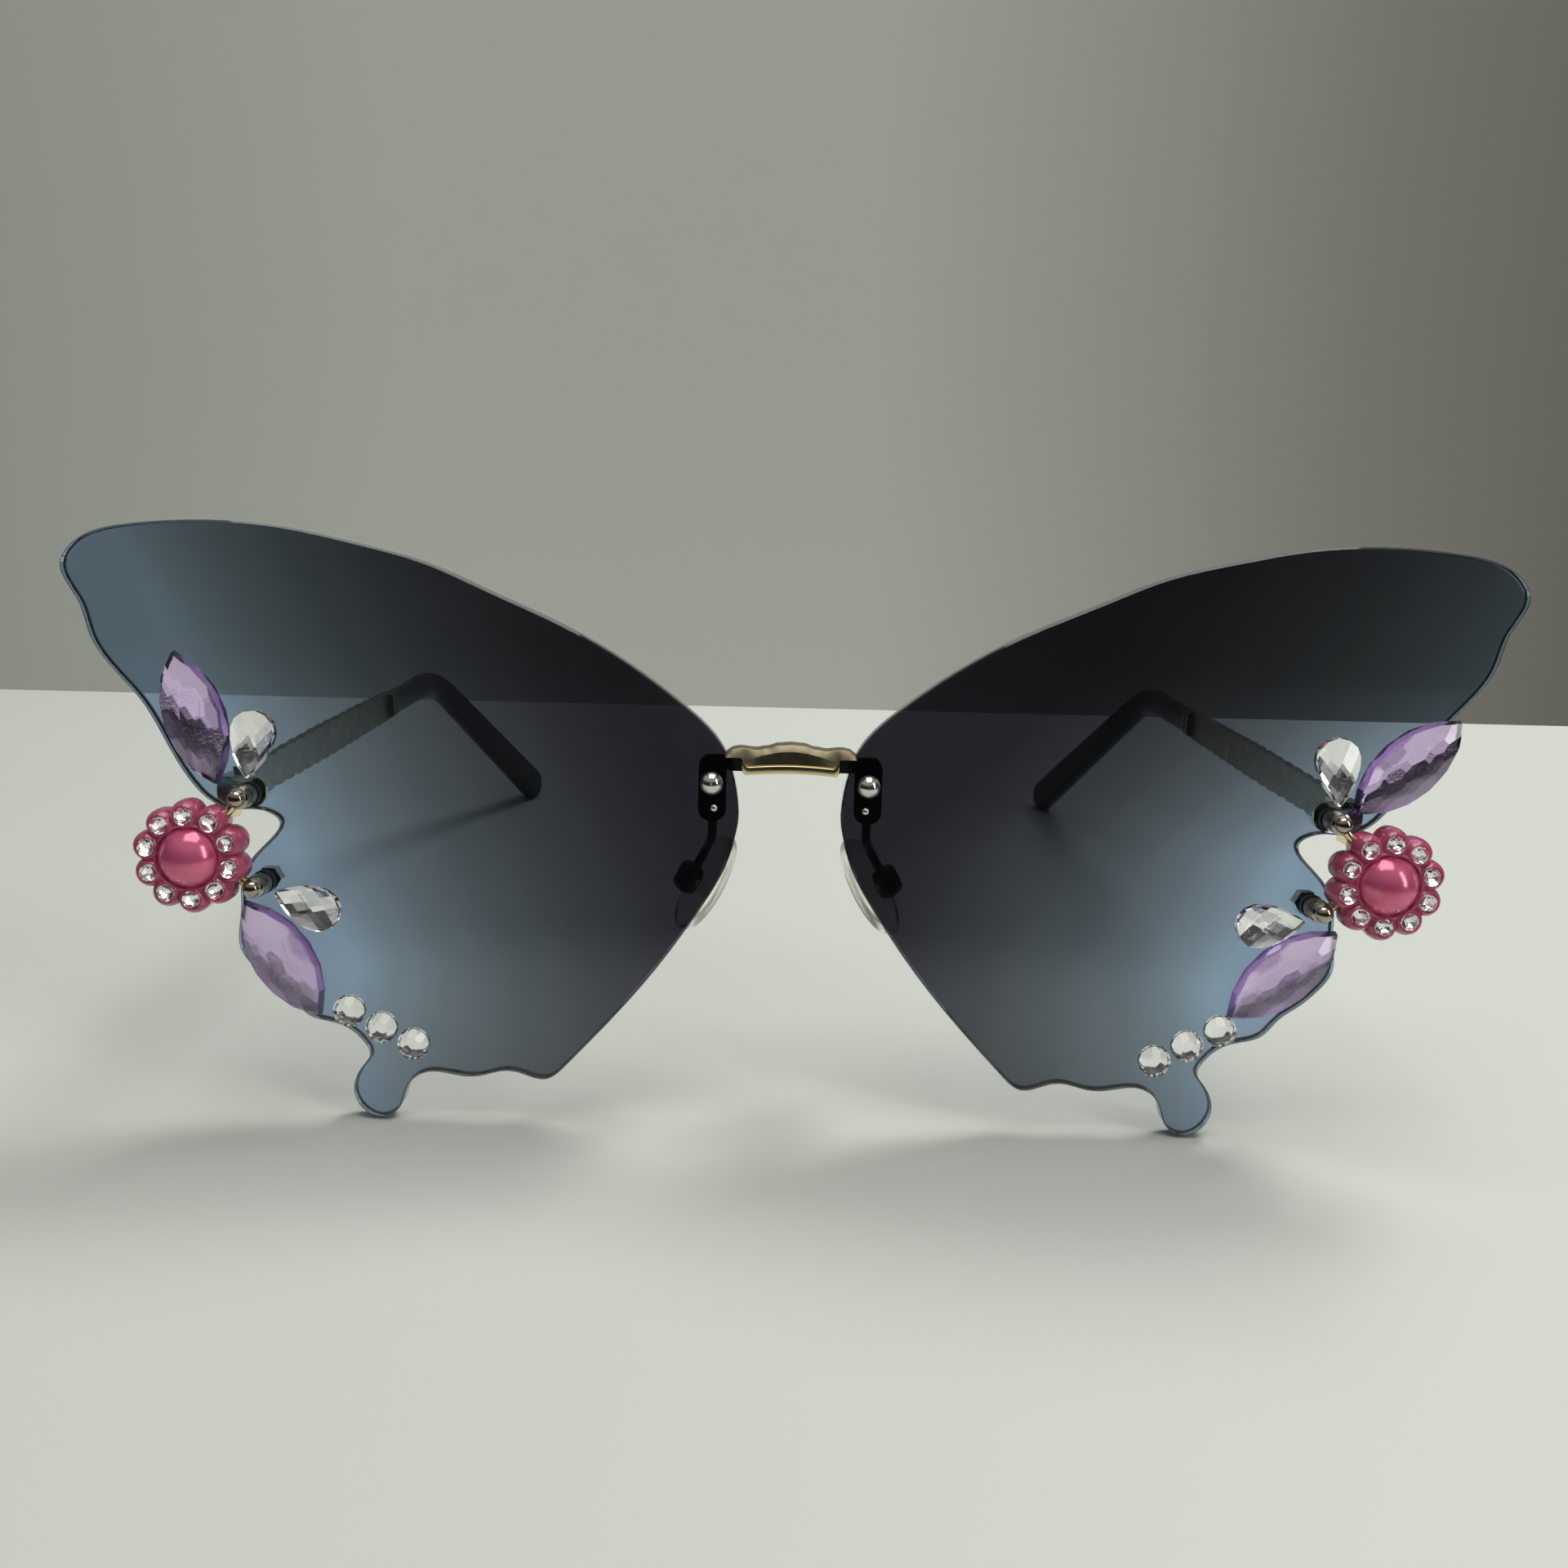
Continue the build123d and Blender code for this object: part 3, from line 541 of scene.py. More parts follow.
def navetteWalls():
    half, side, radius = navetteArc()
    reach = atan2(half, radius - side)
    walls = []
    for sign in (1, -1):
        for index in range(navette["walls"]):
            angle = pi / 2 + reach * (2 * (index + 0.5) / navette["walls"] - 1)
            x, y = radius * cos(angle), side - radius + radius * sin(angle)
            walls.append((x, sign * y, sign * angle))
    return walls


def staggered(length, width, columns, rows, inside):
    # Spots on a checkerboard over the stone, kept where inside says
    spots = []
    for column in range(-columns, columns + 1):
        for row in range(-rows, rows + 1):
            x, y = column * length / 2 / columns, row * width / 2 / rows
            if (column + row) % 2 == 0 and inside(x, y):
                spots.append((x, y))
    return spots


def modelNavette():
    half, side, radius = navetteArc()
    block = blankBlock(navette["length"] + navette["margin"], navette["width"] + navette["margin"],
                       0, navette["height"])
    cutWalls(block, navetteWalls(), navette["wallLean"])
    inside = radius * navette["insideShare"]
    spots = staggered(navette["length"], navette["width"], navette["columns"], navette["rows"],
                      lambda x, y: hypot(x, abs(y) + radius - side) < inside)
    crown = {"x": half * navette["domeShare"], "y": side * navette["domeShare"],
             "height": navette["height"] - navette["foot"], "foot": navette["foot"]}
    cutCrown(block, spots, crown)
    return block


teardrop = {
    "length": 8.2, "width": 5.2, "height": 1.95, "foot": 0.45, "wallLean": 0.12, "margin": 1.0,
    "walls": 16, "columns": 3, "rows": 3, "insideShare": 0.45, "domeShare": 1.12, "gap": 0.02,
    # The share of a wall's turn over which its slope is taken, to either side
    "slopeShare": 0.125,
}


def teardropEdge(turn):
    # A pear shape whose point looks along -X
    widest = sin(acos(-1 / 3)) * sin(acos(-1 / 3) / 2)
    x = -teardrop["length"] / 2 * cos(turn)
    return x, teardrop["width"] / 2 * sin(turn) * sin(abs(turn) / 2) / widest


def modelTeardrop():
    block = blankBlock(teardrop["length"], teardrop["width"] + teardrop["margin"], 0, teardrop["height"])
    walls = []
    step = 2 * pi / teardrop["walls"]
    near = step * teardrop["slopeShare"]
    for index in range(teardrop["walls"]):
        turn = (index + 0.5) * step - pi
        x, y = teardropEdge(turn)
        aheadX, aheadY = teardropEdge(turn + near)
        behindX, behindY = teardropEdge(turn - near)
        walls.append((x, y, atan2(aheadX - behindX, behindY - aheadY)))
    cutWalls(block, walls, teardrop["wallLean"])
    length, width, inside = teardrop["length"], teardrop["width"], teardrop["insideShare"]
    spots = staggered(length, width, teardrop["columns"], teardrop["rows"],
                      lambda x, y: hypot(x / length, y / width) < inside)
    crown = {"x": teardrop["length"] / 2 * teardrop["domeShare"],
             "y": teardrop["width"] / 2 * teardrop["domeShare"],
             "height": teardrop["height"] - teardrop["foot"], "foot": teardrop["foot"]}
    cutCrown(block, spots, crown)
    return block


chaton = {
    "radius": 1.92, "height": 1.45, "foot": 0.55, "wallLean": 0.05, "tableShare": 0.5, "facets": 8,
    "girdleSteeper": 1.5, "gap": 0.02,
}


def modelChaton():
    radius, height, foot = chaton["radius"], chaton["height"], chaton["foot"]
    block = blankBlock(2 * radius, 2 * radius, 0, height)
    step = 2 * pi / chaton["facets"]
    for index in range(2 * chaton["facets"]):
        cutAround(block, radius, index * step / 2, 0, 1, chaton["wallLean"])
    slope = (height - foot) / (radius * (1 - chaton["tableShare"]))
    for index in range(chaton["facets"]):
        # Kite facets up to the flat top, and steeper ones between them at the girdle
        cutAround(block, radius, index * step, foot, slope, 1)
        cutAround(block, radius, index * step + step / 2, foot, chaton["girdleSteeper"] * slope, 1)
    return block


# A face is told from the others by how far up its normal points, from -1 to 1
normalUp = {"backBelow": -0.9, "wallBelow": 0.3, "crystalBackBelow": -0.2, "topAbove": 0.9}


def dressStone(piece, crown, wall, foil):
    # The flat back carries the foil, and the walls of some stones a deeper colour than the crown
    dress(piece, crown, wall, foil)
    for face in piece.data.polygons:
        if face.normal.z < normalUp["backBelow"]:
            face.material_index = 2
        elif face.normal.z < normalUp["wallBelow"]:
            face.material_index = 1


def dressCrystal(piece):
    dress(piece, materials["clear_stone"], silverFoil)
    for face in piece.data.polygons:
        face.material_index = 1 if face.normal.z < normalUp["crystalBackBelow"] else 0


# Where the stones lie on the lens, across and up, and the angles they are turned by, as in the frame
stoneSpots = {
    "right_upper_navette": (71.948, 45.633, 44), "right_lower_navette": (59.032, 20.484, 221),
    "right_upper_teardrop": (63.973, 44.874, 96), "right_lower_teardrop": (57.340, 26.497, 188),
    "left_upper_navette": (69.496, 48.153, 73), "left_lower_navette": (59.872, 19.694, 237),
    "left_upper_teardrop": (63.088, 45.177, 99), "left_lower_teardrop": (57.043, 26.176, 202),
}
chatonSpots = [(52.177, 13.325, 10), (48.345, 11.373, 25), (44.514, 9.421, 0)]

navetteModel = modelNavette()
teardropModel = modelTeardrop()
chatonModel = modelChaton()
for name, (across, up, turn) in stoneSpots.items():
    isNavette = name.endswith("navette")
    piece = copyOf(navetteModel if isNavette else teardropModel)
    if isNavette:
        # The lower navettes take the lighter foil, as painted light
        foil = litSoftFoil if "lower" in name else silverFoil
        dressStone(piece, materials["lilac_stone"], violetWall, foil)
    else:
        dressStone(piece, materials["clear_stone"], materials["clear_stone"], silverFoil)
    gap = navette["gap"] if isNavette else teardrop["gap"]
    applyPlace(piece, onLens(name.split("_")[0], across, up, turn, gap))
    settled(piece, "cut_" + name, "lilac_stone" if isNavette else "clear_stone", name)
for side in ("right", "left"):
    row = []
    for across, up, turn in chatonSpots:
        piece = copyOf(chatonModel)
        dressStone(piece, materials["clear_stone"], materials["clear_stone"], silverFoil)
        applyPlace(piece, onLens(side, across, up, turn, chaton["gap"]))
        row.append(piece)
    settled(joined(row), "cut_" + side + "_chatons", "clear_stone", side + "_chatons")
for model in (navetteModel, teardropModel, chatonModel):
    bpy.data.objects.remove(model)
print("stones cut")


# Flower
flower = {
    "across": 69.091, "up": 32.486, "standOff": 2.0, "petals": 10, "ring": 4.86, "turn": 14,
    # Each petal is a cup; its wall's heights and radii run from the back over the rim into the cup
    "petalWall": [(0.0, 1.45), (0.12, 1.66), (0.45, 1.80), (1.0, 1.84), (1.9, 1.84), (2.5, 1.78),
                  (2.95, 1.66), (3.25, 1.50), (3.45, 1.33), (3.55, 1.22), (3.55, 1.12), (3.5, 1.06),
                  (2.9, 1.02)],
    "petalSides": 28, "heart": 4.5, "heartFoot": 0.2, "heartHeight": 3.05, "heartSides": 60,
    "heartEdge": 0.12, "rim": 3.92, "rimHeight": 3.5, "seat": 3.62, "seatDepth": 0.45,
    "crystalHeight": 3.42, "smooth": 38,
}


def modelPetal():
    return turned(flower["petalWall"], flower["petalSides"], flower["ring"])


def modelHeart():
    # The middle that joins the petals, with a low rim round the pearl
    deselectAll()
    foot, height = flower["heartFoot"], flower["heartHeight"]
    bpy.ops.mesh.primitive_cylinder_add(vertices=flower["heartSides"], radius=flower["heart"],
                                        depth=height, location=(0, 0, height / 2 + foot))
    heart = newest()
    bpy.ops.object.mode_set(mode="EDIT")
    selectFaces(heart, lambda face: face.normal.z > normalUp["topAbove"])
    for inset, rise in ((flower["heart"] - flower["rim"], flower["rimHeight"] - height - foot),
                        (flower["rim"] - flower["seat"], -flower["seatDepth"])):
        bpy.ops.mesh.inset(thickness=inset)
        bpy.ops.mesh.extrude_region_move(TRANSFORM_OT_translate={"value": (0, 0, rise)})
    bpy.ops.object.mode_set(mode="OBJECT")
    return applied(heart, "BEVEL", width=flower["heartEdge"], segments=3, limit_method="ANGLE")


def modelFlower():
    petal = modelPetal()
    step = 2 * pi / flower["petals"]
    whole = modelHeart()
    for index in range(flower["petals"]):
        another = copyOf(petal)
        applyPlace(another, Matrix.Rotation(index * step, 4, "Z"))
        applied(whole, "BOOLEAN", object=another, operation="UNION", solver="EXACT")
        bpy.data.objects.remove(another)
    bpy.data.objects.remove(petal)
    facesOutward(whole)
    return smoothed(whole, flower["smooth"])


crystal = {
    "radius": 1.0, "height": 0.62, "foot": 0.22, "wallLean": 0.02, "tableShare": 0.42, "facets": 6,
    "point": 0.5, "pointShare": 0.8,
}
pearlDome = {"radius": 3.58, "height": 2.3, "segments": 48, "rings": 32, "sunk": 0.5, "smooth": 40}


def modelCrystal():
    # A small chaton with a pointed back, cut below the girdle by as many facets as its crown has
    radius, point, foot = crystal["radius"], crystal["point"], crystal["foot"]
    block = blankBlock(2 * radius, 2 * radius, -point, crystal["height"])
    step = 2 * pi / crystal["facets"]
    slope = (crystal["height"] - foot) / (radius * (1 - crystal["tableShare"]))
    for index in range(2 * crystal["facets"]):
        cutAround(block, radius, index * step / 2, 0, 1, crystal["wallLean"])
    for index in range(crystal["facets"]):
        cutAround(block, radius, index * step, foot, slope, 1)
        cutAround(block, radius, index * step + step / 2, 0, point, -radius * crystal["pointShare"])
    return block


def modelPearl():
    ball = (pearlDome["radius"] ** 2 + pearlDome["height"] ** 2) / (2 * pearlDome["height"])
    deselectAll()
    bpy.ops.mesh.primitive_uv_sphere_add(segments=pearlDome["segments"], ring_count=pearlDome["rings"],
                                         radius=ball, location=(0, 0, pearlDome["height"] - ball))
    dome = newest()
    cut(dome, (0, 0, 0), (0, 0, -1))
    facesOutward(dome)
    return smoothed(dome, pearlDome["smooth"])


flowerModel = modelFlower()
crystalModel = modelCrystal()
pearlModel = modelPearl()
for side in ("right", "left"):
    base = copyOf(flowerModel)
    dress(base, materials["raspberry_resin"])
    applyPlace(base, onLens(side, flower["across"], flower["up"], flower["turn"], flower["standOff"]))
    settled(base, "cast_" + side + "_flower", "raspberry_resin", side + "_flower_base")
    crystals = []
    for index in range(flower["petals"]):
        piece = copyOf(crystalModel)
        dressCrystal(piece)
        angle = index * 2 * pi / flower["petals"]
        applyPlace(piece, Matrix.Rotation(angle, 4, "Z") @ Matrix.Translation((flower["ring"], 0, 0)))
        applyPlace(piece, onLens(side, flower["across"], flower["up"], flower["turn"],
                                 flower["standOff"] + flower["crystalHeight"]))
        crystals.append(piece)
    settled(joined(crystals), "set_" + side + "_crystals", "clear_stone", side + "_flower_crystals")
    dome = copyOf(pearlModel)
    dress(dome, materials["raspberry_pearl"])
    applyPlace(dome, onLens(side, flower["across"], flower["up"], 0,
                            flower["standOff"] + flower["rimHeight"] - pearlDome["sunk"]))
    settled(dome, "pressed_" + side + "_pearl", "raspberry_pearl", side + "_flower_pearl")
for model in (flowerModel, crystalModel, pearlModel):
    bpy.data.objects.remove(model)
print("flowers made")


# Pad boxes: small cast boxes with well rounded corners round the pads' tongues
padBox = {
    "length": 3.8, "width": 3.2, "depth": 2.52, "rim": 1.0, "round": 0.95, "roundSteps": 5, "smooth": 40,
    # The slot's floor lies this far below the pad's screw, and its cutter runs over the rim
    "slotLength": 2.8, "slotWidth": 2.14, "floor": 1.02, "overrun": 1.0,
    "lean": 27.5, "splay": 35.0,
}


def makePadBoxes():
    down = Vector((sin(radians(padBox["lean"])), 0, -cos(radians(padBox["lean"]))))
    back = Vector((sin(radians(padBox["splay"])), cos(radians(padBox["splay"])), 0))
    facing = back.cross(down).normalized()
    turn = Matrix((down, facing.cross(down), facing)).transposed().to_4x4()
    for side, sign in (("right", 1), ("left", -1)):
        joint = next(joint for joint in frame["joints"] if joint["name"] == side + "_pad_rock")
        middle = stancePlace.inverted() @ (Vector(joint["pos_m"]) / millimetre)
        rim = padBox["rim"]
        box = blankBlock(padBox["length"], padBox["width"], rim - padBox["depth"], rim)
        applied(box, "BEVEL", width=padBox["round"], segments=padBox["roundSteps"], limit_method="ANGLE")
        slot = blankBlock(padBox["slotLength"], padBox["slotWidth"], -padBox["floor"],
                          rim + padBox["overrun"])
        applied(box, "BOOLEAN", object=slot, operation="DIFFERENCE", solver="EXACT")
        bpy.data.objects.remove(slot)
        smoothed(box, padBox["smooth"])
        applyPlace(box, Matrix.Translation((abs(middle.x), middle.y, middle.z)) @ turn)
        applyPlace(box, Matrix.Scale(sign, 4, (1, 0, 0)))
        facesOutward(box)
        dress(box, materials["black_metal"])
        settled(box, f"cast_{side}_pad_box", "black_metal", f"{side}_pad_box")


makePadBoxes()
print("pad boxes made")


# Locators: the ends of the brackets' pegs, polished to low domes on the lens's face
locator = {
    "across": 8.923, "up": 38.908, "sides": 24, "smooth": 50,
    "profile": [(-0.2, 0.40), (0.06, 0.44), (0.2, 0.38), (0.3, 0.24), (0.34, 0.08)],
}


def makeLocators():
    for side in ("right", "left"):
        dome = smoothed(turned(locator["profile"], locator["sides"]), locator["smooth"])
        dress(dome, materials["bright_metal"])
        applyPlace(dome, onLens(side, locator["across"], locator["up"]))
        settled(dome, f"polished_{side}_locator", "bright_metal")


makeLocators()
print("locators polished")


# Posts: a barrel, and a bolt with a ring and a low cap on its head
post = {
    # Each post's place across and up, and its nut's seat behind the front
    "spots": [(63.602, 39.318, 3.4), (62.090, 28.826, 2.4)],
    # Heights and radii
    "barrel": [(0.5, 1.10), (0.55, 1.18), (0.9, 1.27), (1.8, 1.33), (2.8, 1.30), (3.5, 1.20),
               (3.62, 1.08)],
    "ring": [(3.62, 0.7), (3.66, 1.10), (3.74, 1.22), (3.88, 1.26), (4.02, 1.22), (4.1, 1.08),
             (4.14, 0.98)],
    "cap": [(4.28, 1.02), (4.6, 1.02), (4.9, 0.91), (5.12, 0.70), (5.26, 0.40), (5.3, 0.12)],
    "shank": 0.7, "shankEnd": 1.9, "tipChamfer": 0.12, "sides": 40, "smooth": 40,
}


def makePosts():
    barrelModel = turned(post["barrel"], post["sides"])
    for side in ("right", "left"):
        barrels, bolts = [], []
        for across, up, seat in post["spots"]:
            barrel = copyOf(barrelModel)
            tail, shank = -seat - post["shankEnd"], post["shank"]
            foot = [(tail, shank - post["tipChamfer"]), (tail + post["tipChamfer"], shank)]
            bolt = turned(foot + post["ring"] + post["cap"], post["sides"])
            for piece, group in ((barrel, barrels), (bolt, bolts)):
                applyPlace(piece, onLens(side, across, up))
                group.append(piece)
        for group, name, slot, node in ((barrels, "barrels", "dark_chrome", "sleeves"),
                                        (bolts, "bolts", "bright_metal", "bolts")):
            whole = smoothed(joined(group), post["smooth"])
            dress(whole, warmNickel if name == "bolts" else materials[slot])
            settled(whole, f"turned_{side}_{name}", slot, f"{side}_post_{node}")
    bpy.data.objects.remove(barrelModel)


makePosts()
print("posts turned")


# Bridge: a band and a web with a wavy crest over them like an eyebrow
bridge = {
    "half": 5.7, "up": 44.127, "back": 3.3, "steps": 24, "edge": 0.17, "edgeAngle": 35, "tilt": 5.5,
    "smooth": 32,
    "bottom": -1.25, "arch": 0.35, "archSpanShare": 1.06, "corner": 0.5, "band": 1.0, "bandFront": -0.6,
    "bandRise": 4.9, "bandInCrest": 0.2,
    "webFront": -0.15, "webSlope": 0.42, "webInCrest": 0.3, "webInset": 0.3, "webBackInset": 0.05,
    # The crest's foot drops from its middle to this distance across, and lies level at the tabs
    "crestFoot": 1.72, "crestDrop": 1.25, "crestDropEnd": 5.25, "tabFoot": 0.9,
    "crestFront": -0.62, "crestBack": 1.9, "crestSlope": 0.7, "polishedMargin": 0.02,
    # The crest's top from its middle to its end, as (distance across, height)
    "crestTop": [(0.0, 2.5), (1.4, 2.4), (2.9, 2.0), (4.1, 1.82), (6.0, 1.98), (6.8, 1.84), (7.4, 1.5),
                 (7.75, 1.08)],
    # Places nearer than this count as the same
    "near": 0.001,
}


def bandBottom(across):
    # A gentle arch with rounded ends
    corner = bridge["corner"]
    past = max(abs(across) - bridge["half"] + corner, 0)
    rounded = corner - sqrt(max(corner ** 2 - past ** 2, 0))
    span = bridge["half"] * bridge["archSpanShare"]
    return bridge["bottom"] + bridge["arch"] * cos(pi / 2 * across / span) + rounded


def crestFoot(across):
    share = min(abs(across) / bridge["crestDropEnd"], 1)
    return bridge["crestFoot"] - bridge["crestDrop"] * share ** 2


def bandEdges(across):
    # The band's ends curl up into the crest
    low = bandBottom(across)
    rise = max(abs(across) - bridge["bandRise"], 0) / (bridge["half"] - bridge["bandRise"])
    curled = crestFoot(across) + bridge["bandInCrest"]
    return low, low + bridge["band"] + (curled - low - bridge["band"]) * rise ** 2


def webEdges(across):
    return bandBottom(across) + bridge["band"] / 2, crestFoot(across) + bridge["webInCrest"]


def crestEdges(across):
    # The top runs from spot to spot of the crest and is level at each
    spots = bridge["crestTop"]
    for (start, low), (end, high) in zip(spots, spots[1:]):
        if abs(across) <= end + bridge["near"]:
            share = (abs(across) - start) / (end - start)
            share = share * share * (3 - 2 * share)
            top = low + (high - low) * share
            break
    foot = crestFoot(across) if abs(across) < bridge["half"] else bridge["tabFoot"]
    return foot, top


def modelBar(half, front, back, edges, steps):
    # A section is stretched along X in steps, and each step takes its lower and upper edge from edges
    deselectAll()
    low, high = edges(-half)
    bpy.ops.mesh.primitive_plane_add(size=1, location=(-half, (front + back) / 2, (low + high) / 2),
                                     rotation=(0, radians(90), 0))
    bar = newest((high - low, back - front, 1))
    editAll(bar)
    step = 2 * half / steps
    for index in range(steps):
        across = -half + (index + 1) * step
        nextLow, nextHigh = edges(across)
        middle, nextMiddle = (low + high) / 2, (nextLow + nextHigh) / 2
        bpy.ops.mesh.extrude_region_move(TRANSFORM_OT_translate={"value": (step, 0, nextMiddle - middle)})
        bpy.ops.transform.resize(value=(1, 1, (nextHigh - nextLow) / (high - low)),
                                 center_override=(across, 0, nextMiddle))
        low, high = nextLow, nextHigh
    bpy.ops.object.mode_set(mode="OBJECT")
    facesOutward(bar)
    return bar


def slanted(bar, front, edges, amount):
    # Moves the upper edge of the front back by amount
    choose(bar)
    bpy.ops.object.mode_set(mode="EDIT")
    selectPoints(bar, lambda place: (abs(place.y - front) < bridge["near"]
                                     and place.z > sum(edges(place.x)) / 2))
    bpy.ops.transform.translate(value=(0, amount, 0))
    bpy.ops.object.mode_set(mode="OBJECT")


def makeBridge():
    half, back, steps = bridge["half"], bridge["back"], bridge["steps"]
    band = modelBar(half, bridge["bandFront"], back, bandEdges, 2 * steps)
    web = modelBar(half - bridge["webInset"], bridge["webFront"], back - bridge["webBackInset"], webEdges,
                   steps)
    slanted(web, bridge["webFront"], webEdges, bridge["webSlope"])
    crest = modelBar(bridge["crestTop"][-1][0], bridge["crestFront"], bridge["crestBack"], crestEdges,
                     3 * steps)
    slanted(crest, bridge["crestFront"], crestEdges, bridge["crestSlope"])
    for piece in (band, crest):
        applied(piece, "BEVEL", width=bridge["edge"], segments=3, limit_method="ANGLE",
                angle_limit=radians(bridge["edgeAngle"]))
    for piece in (web, crest):
        applied(band, "BOOLEAN", object=piece, operation="UNION", solver="EXACT")
        bpy.data.objects.remove(piece)
    facesOutward(band)
    smoothed(band, bridge["smooth"])
    dress(band, materials["gold_metal"], shadedSatinGold)
    for face in band.data.polygons:
        # The crest and its tabs are satin, in gold painted darker as shade, and what lies below the
        # crest's foot is polished
        polishedTop = crestFoot(face.center.x) + bridge["polishedMargin"]
        if face.center.z > polishedTop or abs(face.center.x) > half:
            face.material_index = 1
    tip = Matrix.Rotation(radians(bridge["tilt"]), 4, "X")
    applyPlace(band, Matrix.Translation((0, 0, bridge["up"])) @ tip)
    settled(band, "arched_bridge", "gold_metal", "bridge_bar")


makeBridge()
print("bridge made")


# Stage: a pale floor and a grey backdrop behind the glasses
stage = {
    "floor": "#cacdc4", "floorSize": 3.0, "floorDrop": 0.00002, "backdropY": 0.160, "backdropHeight": 1.2,
    # The backdrop's grey at places across it, in metres, holds painted shade: a little darker to the
    # left, much to the right
    "backdrop": [(-0.25, "#b7b9b1"), (-0.10, "#c8cac1"), (0.02, "#c2c3bb"), (0.14, "#8d8c85"),
                 (0.24, "#64625c")],
    "world": 0.08, "mirroredWorld": 0.025, "background": "#e9eae6",
    # Distances from the middle between which the floor and the backdrop fade into the background
    "fadeStart": 0.28, "fadeEnd": 0.55, "eyeHeight": 0.08,
    # Mirrored in lenses and metal, the floor ends sooner
    "mirrorStart": 0.11, "mirrorEnd": 0.33,
    # The sines of the heights above the horizon between which mirrored light turns from dim to pale
    "dimBelow": 0.22, "paleAbove": 0.6, "paleShare": 0.4,
    # Foil behind the stones also mirrors a pale strip up to this sine above the horizon
    "stripTop": 0.055, "stripShare": 0.7,
}


def seenStraight(tree):
    # 1 for what is seen directly or through glass
    lightPath = addNode(tree, "ShaderNodeLightPath")
    direct, glass = lightPath.outputs["Is Camera Ray"], lightPath.outputs["Is Transmission Ray"]
    return addNode(tree, "ShaderNodeMath", {0: direct, 1: glass}, operation="MAXIMUM")


def awayShare(tree, middle, start, end):
    # 0 nearer to the middle than start, 1 beyond end
    coordinate = addNode(tree, "ShaderNodeTexCoord")
    away = addNode(tree, "ShaderNodeVectorMath", {0: coordinate.outputs["Object"]}, {1: middle},
                   operation="DISTANCE")
    return addNode(tree, "ShaderNodeMapRange", {"Value": away.outputs["Value"]},
                   {"From Min": start, "From Max": end}, interpolation_type="SMOOTHSTEP")


def fadeOut(tree, shader, middle):
    # Far from the glasses the surface turns into the pale background, seen directly or through glass
    share = awayShare(tree, middle, stage["fadeStart"], stage["fadeEnd"])
    amount = addNode(tree, "ShaderNodeMath", {0: share, 1: seenStraight(tree)}, operation="MULTIPLY")
    pale = addNode(tree, "ShaderNodeEmission", values={"Color": linear(stage["background"])})
    return addNode(tree, "ShaderNodeMixShader", {0: amount, 1: shader, 2: pale})


def makeFloor():
    deselectAll()
    bpy.ops.mesh.primitive_plane_add(size=stage["floorSize"], location=(0, 0, -stage["floorDrop"]))
    floor = newest()
    floor.name = "stage_floor"
    material, tree, shader = newMaterial("pale studio floor", Base_Color=linear(stage["floor"]),
                                         Roughness=0.5, Specular_IOR_Level=0.3)
    faded = fadeOut(tree, shader, (0, 0, 0))
    far = awayShare(tree, (0, 0, 0), stage["mirrorStart"], stage["mirrorEnd"])
    lightPath = addNode(tree, "ShaderNodeLightPath")
    # A ray through glass also counts as glossy, so it is taken off again
    glossy, glass = lightPath.outputs["Is Glossy Ray"], lightPath.outputs["Is Transmission Ray"]
    mirrored = addNode(tree, "ShaderNodeMath", {0: glossy, 1: glass}, operation="SUBTRACT")
    amount = addNode(tree, "ShaderNodeMath", {0: far, 1: mirrored}, operation="MULTIPLY", use_clamp=True)
    dim = addNode(tree, "ShaderNodeEmission",
                  values={"Color": grey(1), "Strength": stage["mirroredWorld"]})
    mix = addNode(tree, "ShaderNodeMixShader", {0: amount, 1: faded, 2: dim})
    tree.links.new(mix.outputs[0], tree.nodes["Material Output"].inputs["Surface"])
    dress(floor, material)


def makeBackdrop():
    deselectAll()
    bpy.ops.mesh.primitive_plane_add(size=1, rotation=(radians(90), 0, 0),
                                     location=(0, stage["backdropY"], stage["backdropHeight"] / 2))
    backdrop = newest((stage["floorSize"], stage["backdropHeight"], 1))
    backdrop.name = "stage_backdrop"
    material, tree, shader = newMaterial("grey studio backdrop with painted shade", Roughness=0.9)
    coordinate = addNode(tree, "ShaderNodeTexCoord")
    parts = addNode(tree, "ShaderNodeSeparateXYZ", {"Vector": coordinate.outputs["Object"]})
    # The grey across the backdrop is painted shade
    low, high = stage["backdrop"][0][0], stage["backdrop"][-1][0]
    share = addNode(tree, "ShaderNodeMapRange", {"Value": parts.outputs["X"]},
                    {"From Min": low, "From Max": high})
    shade = addNode(tree, "ShaderNodeValToRGB", {"Fac": share},
                    stops=spreadStops(stage["backdrop"], low, high))
    tree.links.new(shade.outputs["Color"], shader.inputs["Base Color"])
    faded = fadeOut(tree, shader, (0, stage["backdropY"], stage["eyeHeight"]))
    # Seen only from the front, so that views from behind look through it
    geometry = addNode(tree, "ShaderNodeNewGeometry")
    clear = addNode(tree, "ShaderNodeBsdfTransparent")
    mix = addNode(tree, "ShaderNodeMixShader", {0: geometry.outputs["Backfacing"], 1: faded, 2: clear})
    tree.links.new(mix.outputs[0], tree.nodes["Material Output"].inputs["Surface"])
    dress(backdrop, material)
    backdrop.visible_shadow = False
    backdrop.visible_diffuse = False


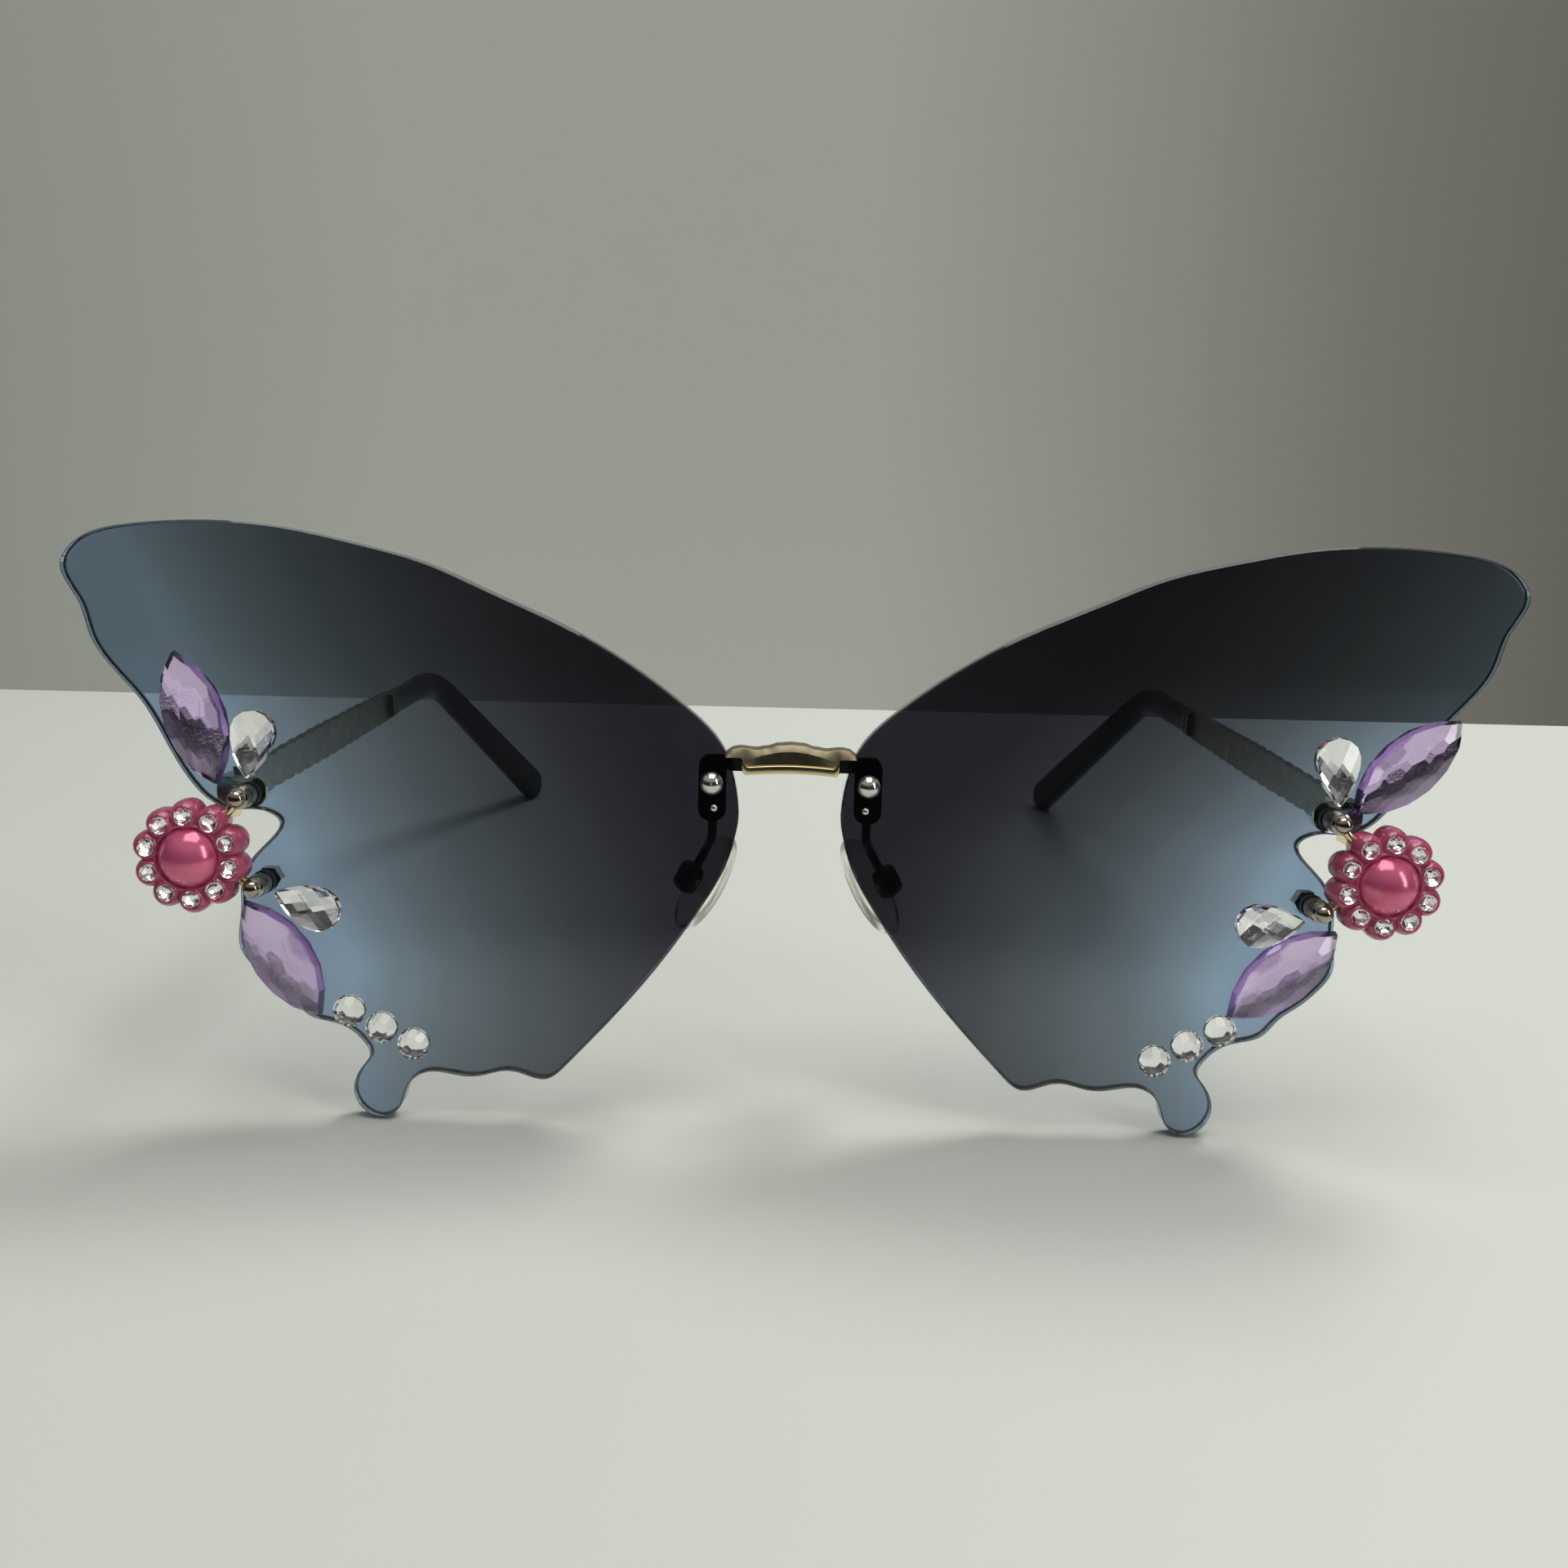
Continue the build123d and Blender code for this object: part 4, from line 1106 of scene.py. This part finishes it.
def makeWorld():
    world = bpy.data.worlds.new("studio")
    bpy.context.scene.world = world
    world.use_nodes = True
    tree = world.node_tree
    lightPath = addNode(tree, "ShaderNodeLightPath")
    through = seenStraight(tree)
    glossy, depth = lightPath.outputs["Is Glossy Ray"], lightPath.outputs["Glossy Depth"]
    mirrored = addNode(tree, "ShaderNodeMath", {0: glossy, 1: depth}, operation="MAXIMUM")
    # The depth counts reflections, so less than half of one means none
    straight = addNode(tree, "ShaderNodeMath", {0: depth}, {1: 0.5}, operation="LESS_THAN")
    plain = addNode(tree, "ShaderNodeMath", {0: through, 1: straight}, operation="MULTIPLY")
    # Metal, glass and foil mirror the pale background only from above, as in a studio lit from there
    direction = addNode(tree, "ShaderNodeTexCoord")
    parts = addNode(tree, "ShaderNodeSeparateXYZ", {"Vector": direction.outputs["Generated"]})
    overhead = addNode(tree, "ShaderNodeMapRange", {"Value": parts.outputs["Z"]},
                       {"From Min": stage["dimBelow"], "From Max": stage["paleAbove"],
                        "To Max": stage["paleShare"]})
    fromAbove = addNode(tree, "ShaderNodeMath", {0: mirrored, 1: overhead}, operation="MULTIPLY")
    strip = addNode(tree, "ShaderNodeMath", {0: parts.outputs["Z"]}, {1: stage["stripTop"]},
                    operation="LESS_THAN")
    stripShare = addNode(tree, "ShaderNodeMath", {0: strip}, {1: stage["stripShare"]},
                         operation="MULTIPLY")
    fromStrip = addNode(tree, "ShaderNodeMath", {0: stripShare, 1: through}, operation="MULTIPLY")
    reflected = addNode(tree, "ShaderNodeMath", {0: fromStrip, 1: fromAbove}, operation="MAXIMUM")
    shown = addNode(tree, "ShaderNodeMath", {0: plain, 1: reflected},
                    operation="MAXIMUM", use_clamp=True)
    # The dim part of the studio is darker still in mirrors than in the light it gives
    strength = addNode(tree, "ShaderNodeMapRange", {"Value": mirrored},
                       {"To Min": stage["world"], "To Max": stage["mirroredWorld"]})
    dim = addNode(tree, "ShaderNodeBackground", {"Strength": strength}, {"Color": grey(1)})
    pale = addNode(tree, "ShaderNodeBackground", values={"Color": linear(stage["background"])})
    mix = addNode(tree, "ShaderNodeMixShader", {0: shown, 1: dim, 2: pale})
    tree.links.new(mix.outputs[0], tree.nodes["World Output"].inputs["Surface"])


lightAim = (0, -0.03, 0.03)  # the middle of the glasses, in metres
lights = {
    # name: place, width, height and power, in metres and watts
    "key": ((0.35, 0.30, 0.75), 0.30, 0.30, 4.5),
    "top": ((0.0, -0.15, 1.1), 0.80, 0.80, 6.5),
    "front": ((0.95, -0.70, 0.50), 0.22, 0.90, 3.8),
}


def makeLights():
    for name, (place, width, height, power) in lights.items():
        lamp = bpy.data.lights.new(name, "AREA")
        lamp.shape = "RECTANGLE"
        lamp.size = width
        lamp.size_y = height
        lamp.energy = power
        holder = bpy.data.objects.new(name, lamp)
        bpy.context.scene.collection.objects.link(holder)
        holder.location = place
        aim = Vector(lightAim) - Vector(place)
        holder.rotation_euler = aim.to_track_quat("-Z", "Y").to_euler()


camera = {
    "lens": 35.55, "sensor": 36, "clipStart": 0.01,
    "place": (-0.00075, -0.2402, 0.0908), "pitch": 74.4, "roll": 1.35,
}


def makeCamera():
    data = bpy.data.cameras.new("camera")
    data.lens = camera["lens"]
    data.sensor_width = camera["sensor"]
    data.clip_start = camera["clipStart"]
    holder = bpy.data.objects.new("camera", data)
    bpy.context.scene.collection.objects.link(holder)
    pitch = Matrix.Rotation(radians(camera["pitch"]), 4, "X")
    roll = Matrix.Rotation(radians(camera["roll"]), 4, "Z")
    holder.matrix_world = Matrix.Translation(camera["place"]) @ pitch @ roll
    bpy.context.scene.camera = holder


makeFloor()
makeBackdrop()
makeWorld()
makeLights()
makeCamera()
bpy.context.scene.view_settings.view_transform = "Standard"
print("stage set")
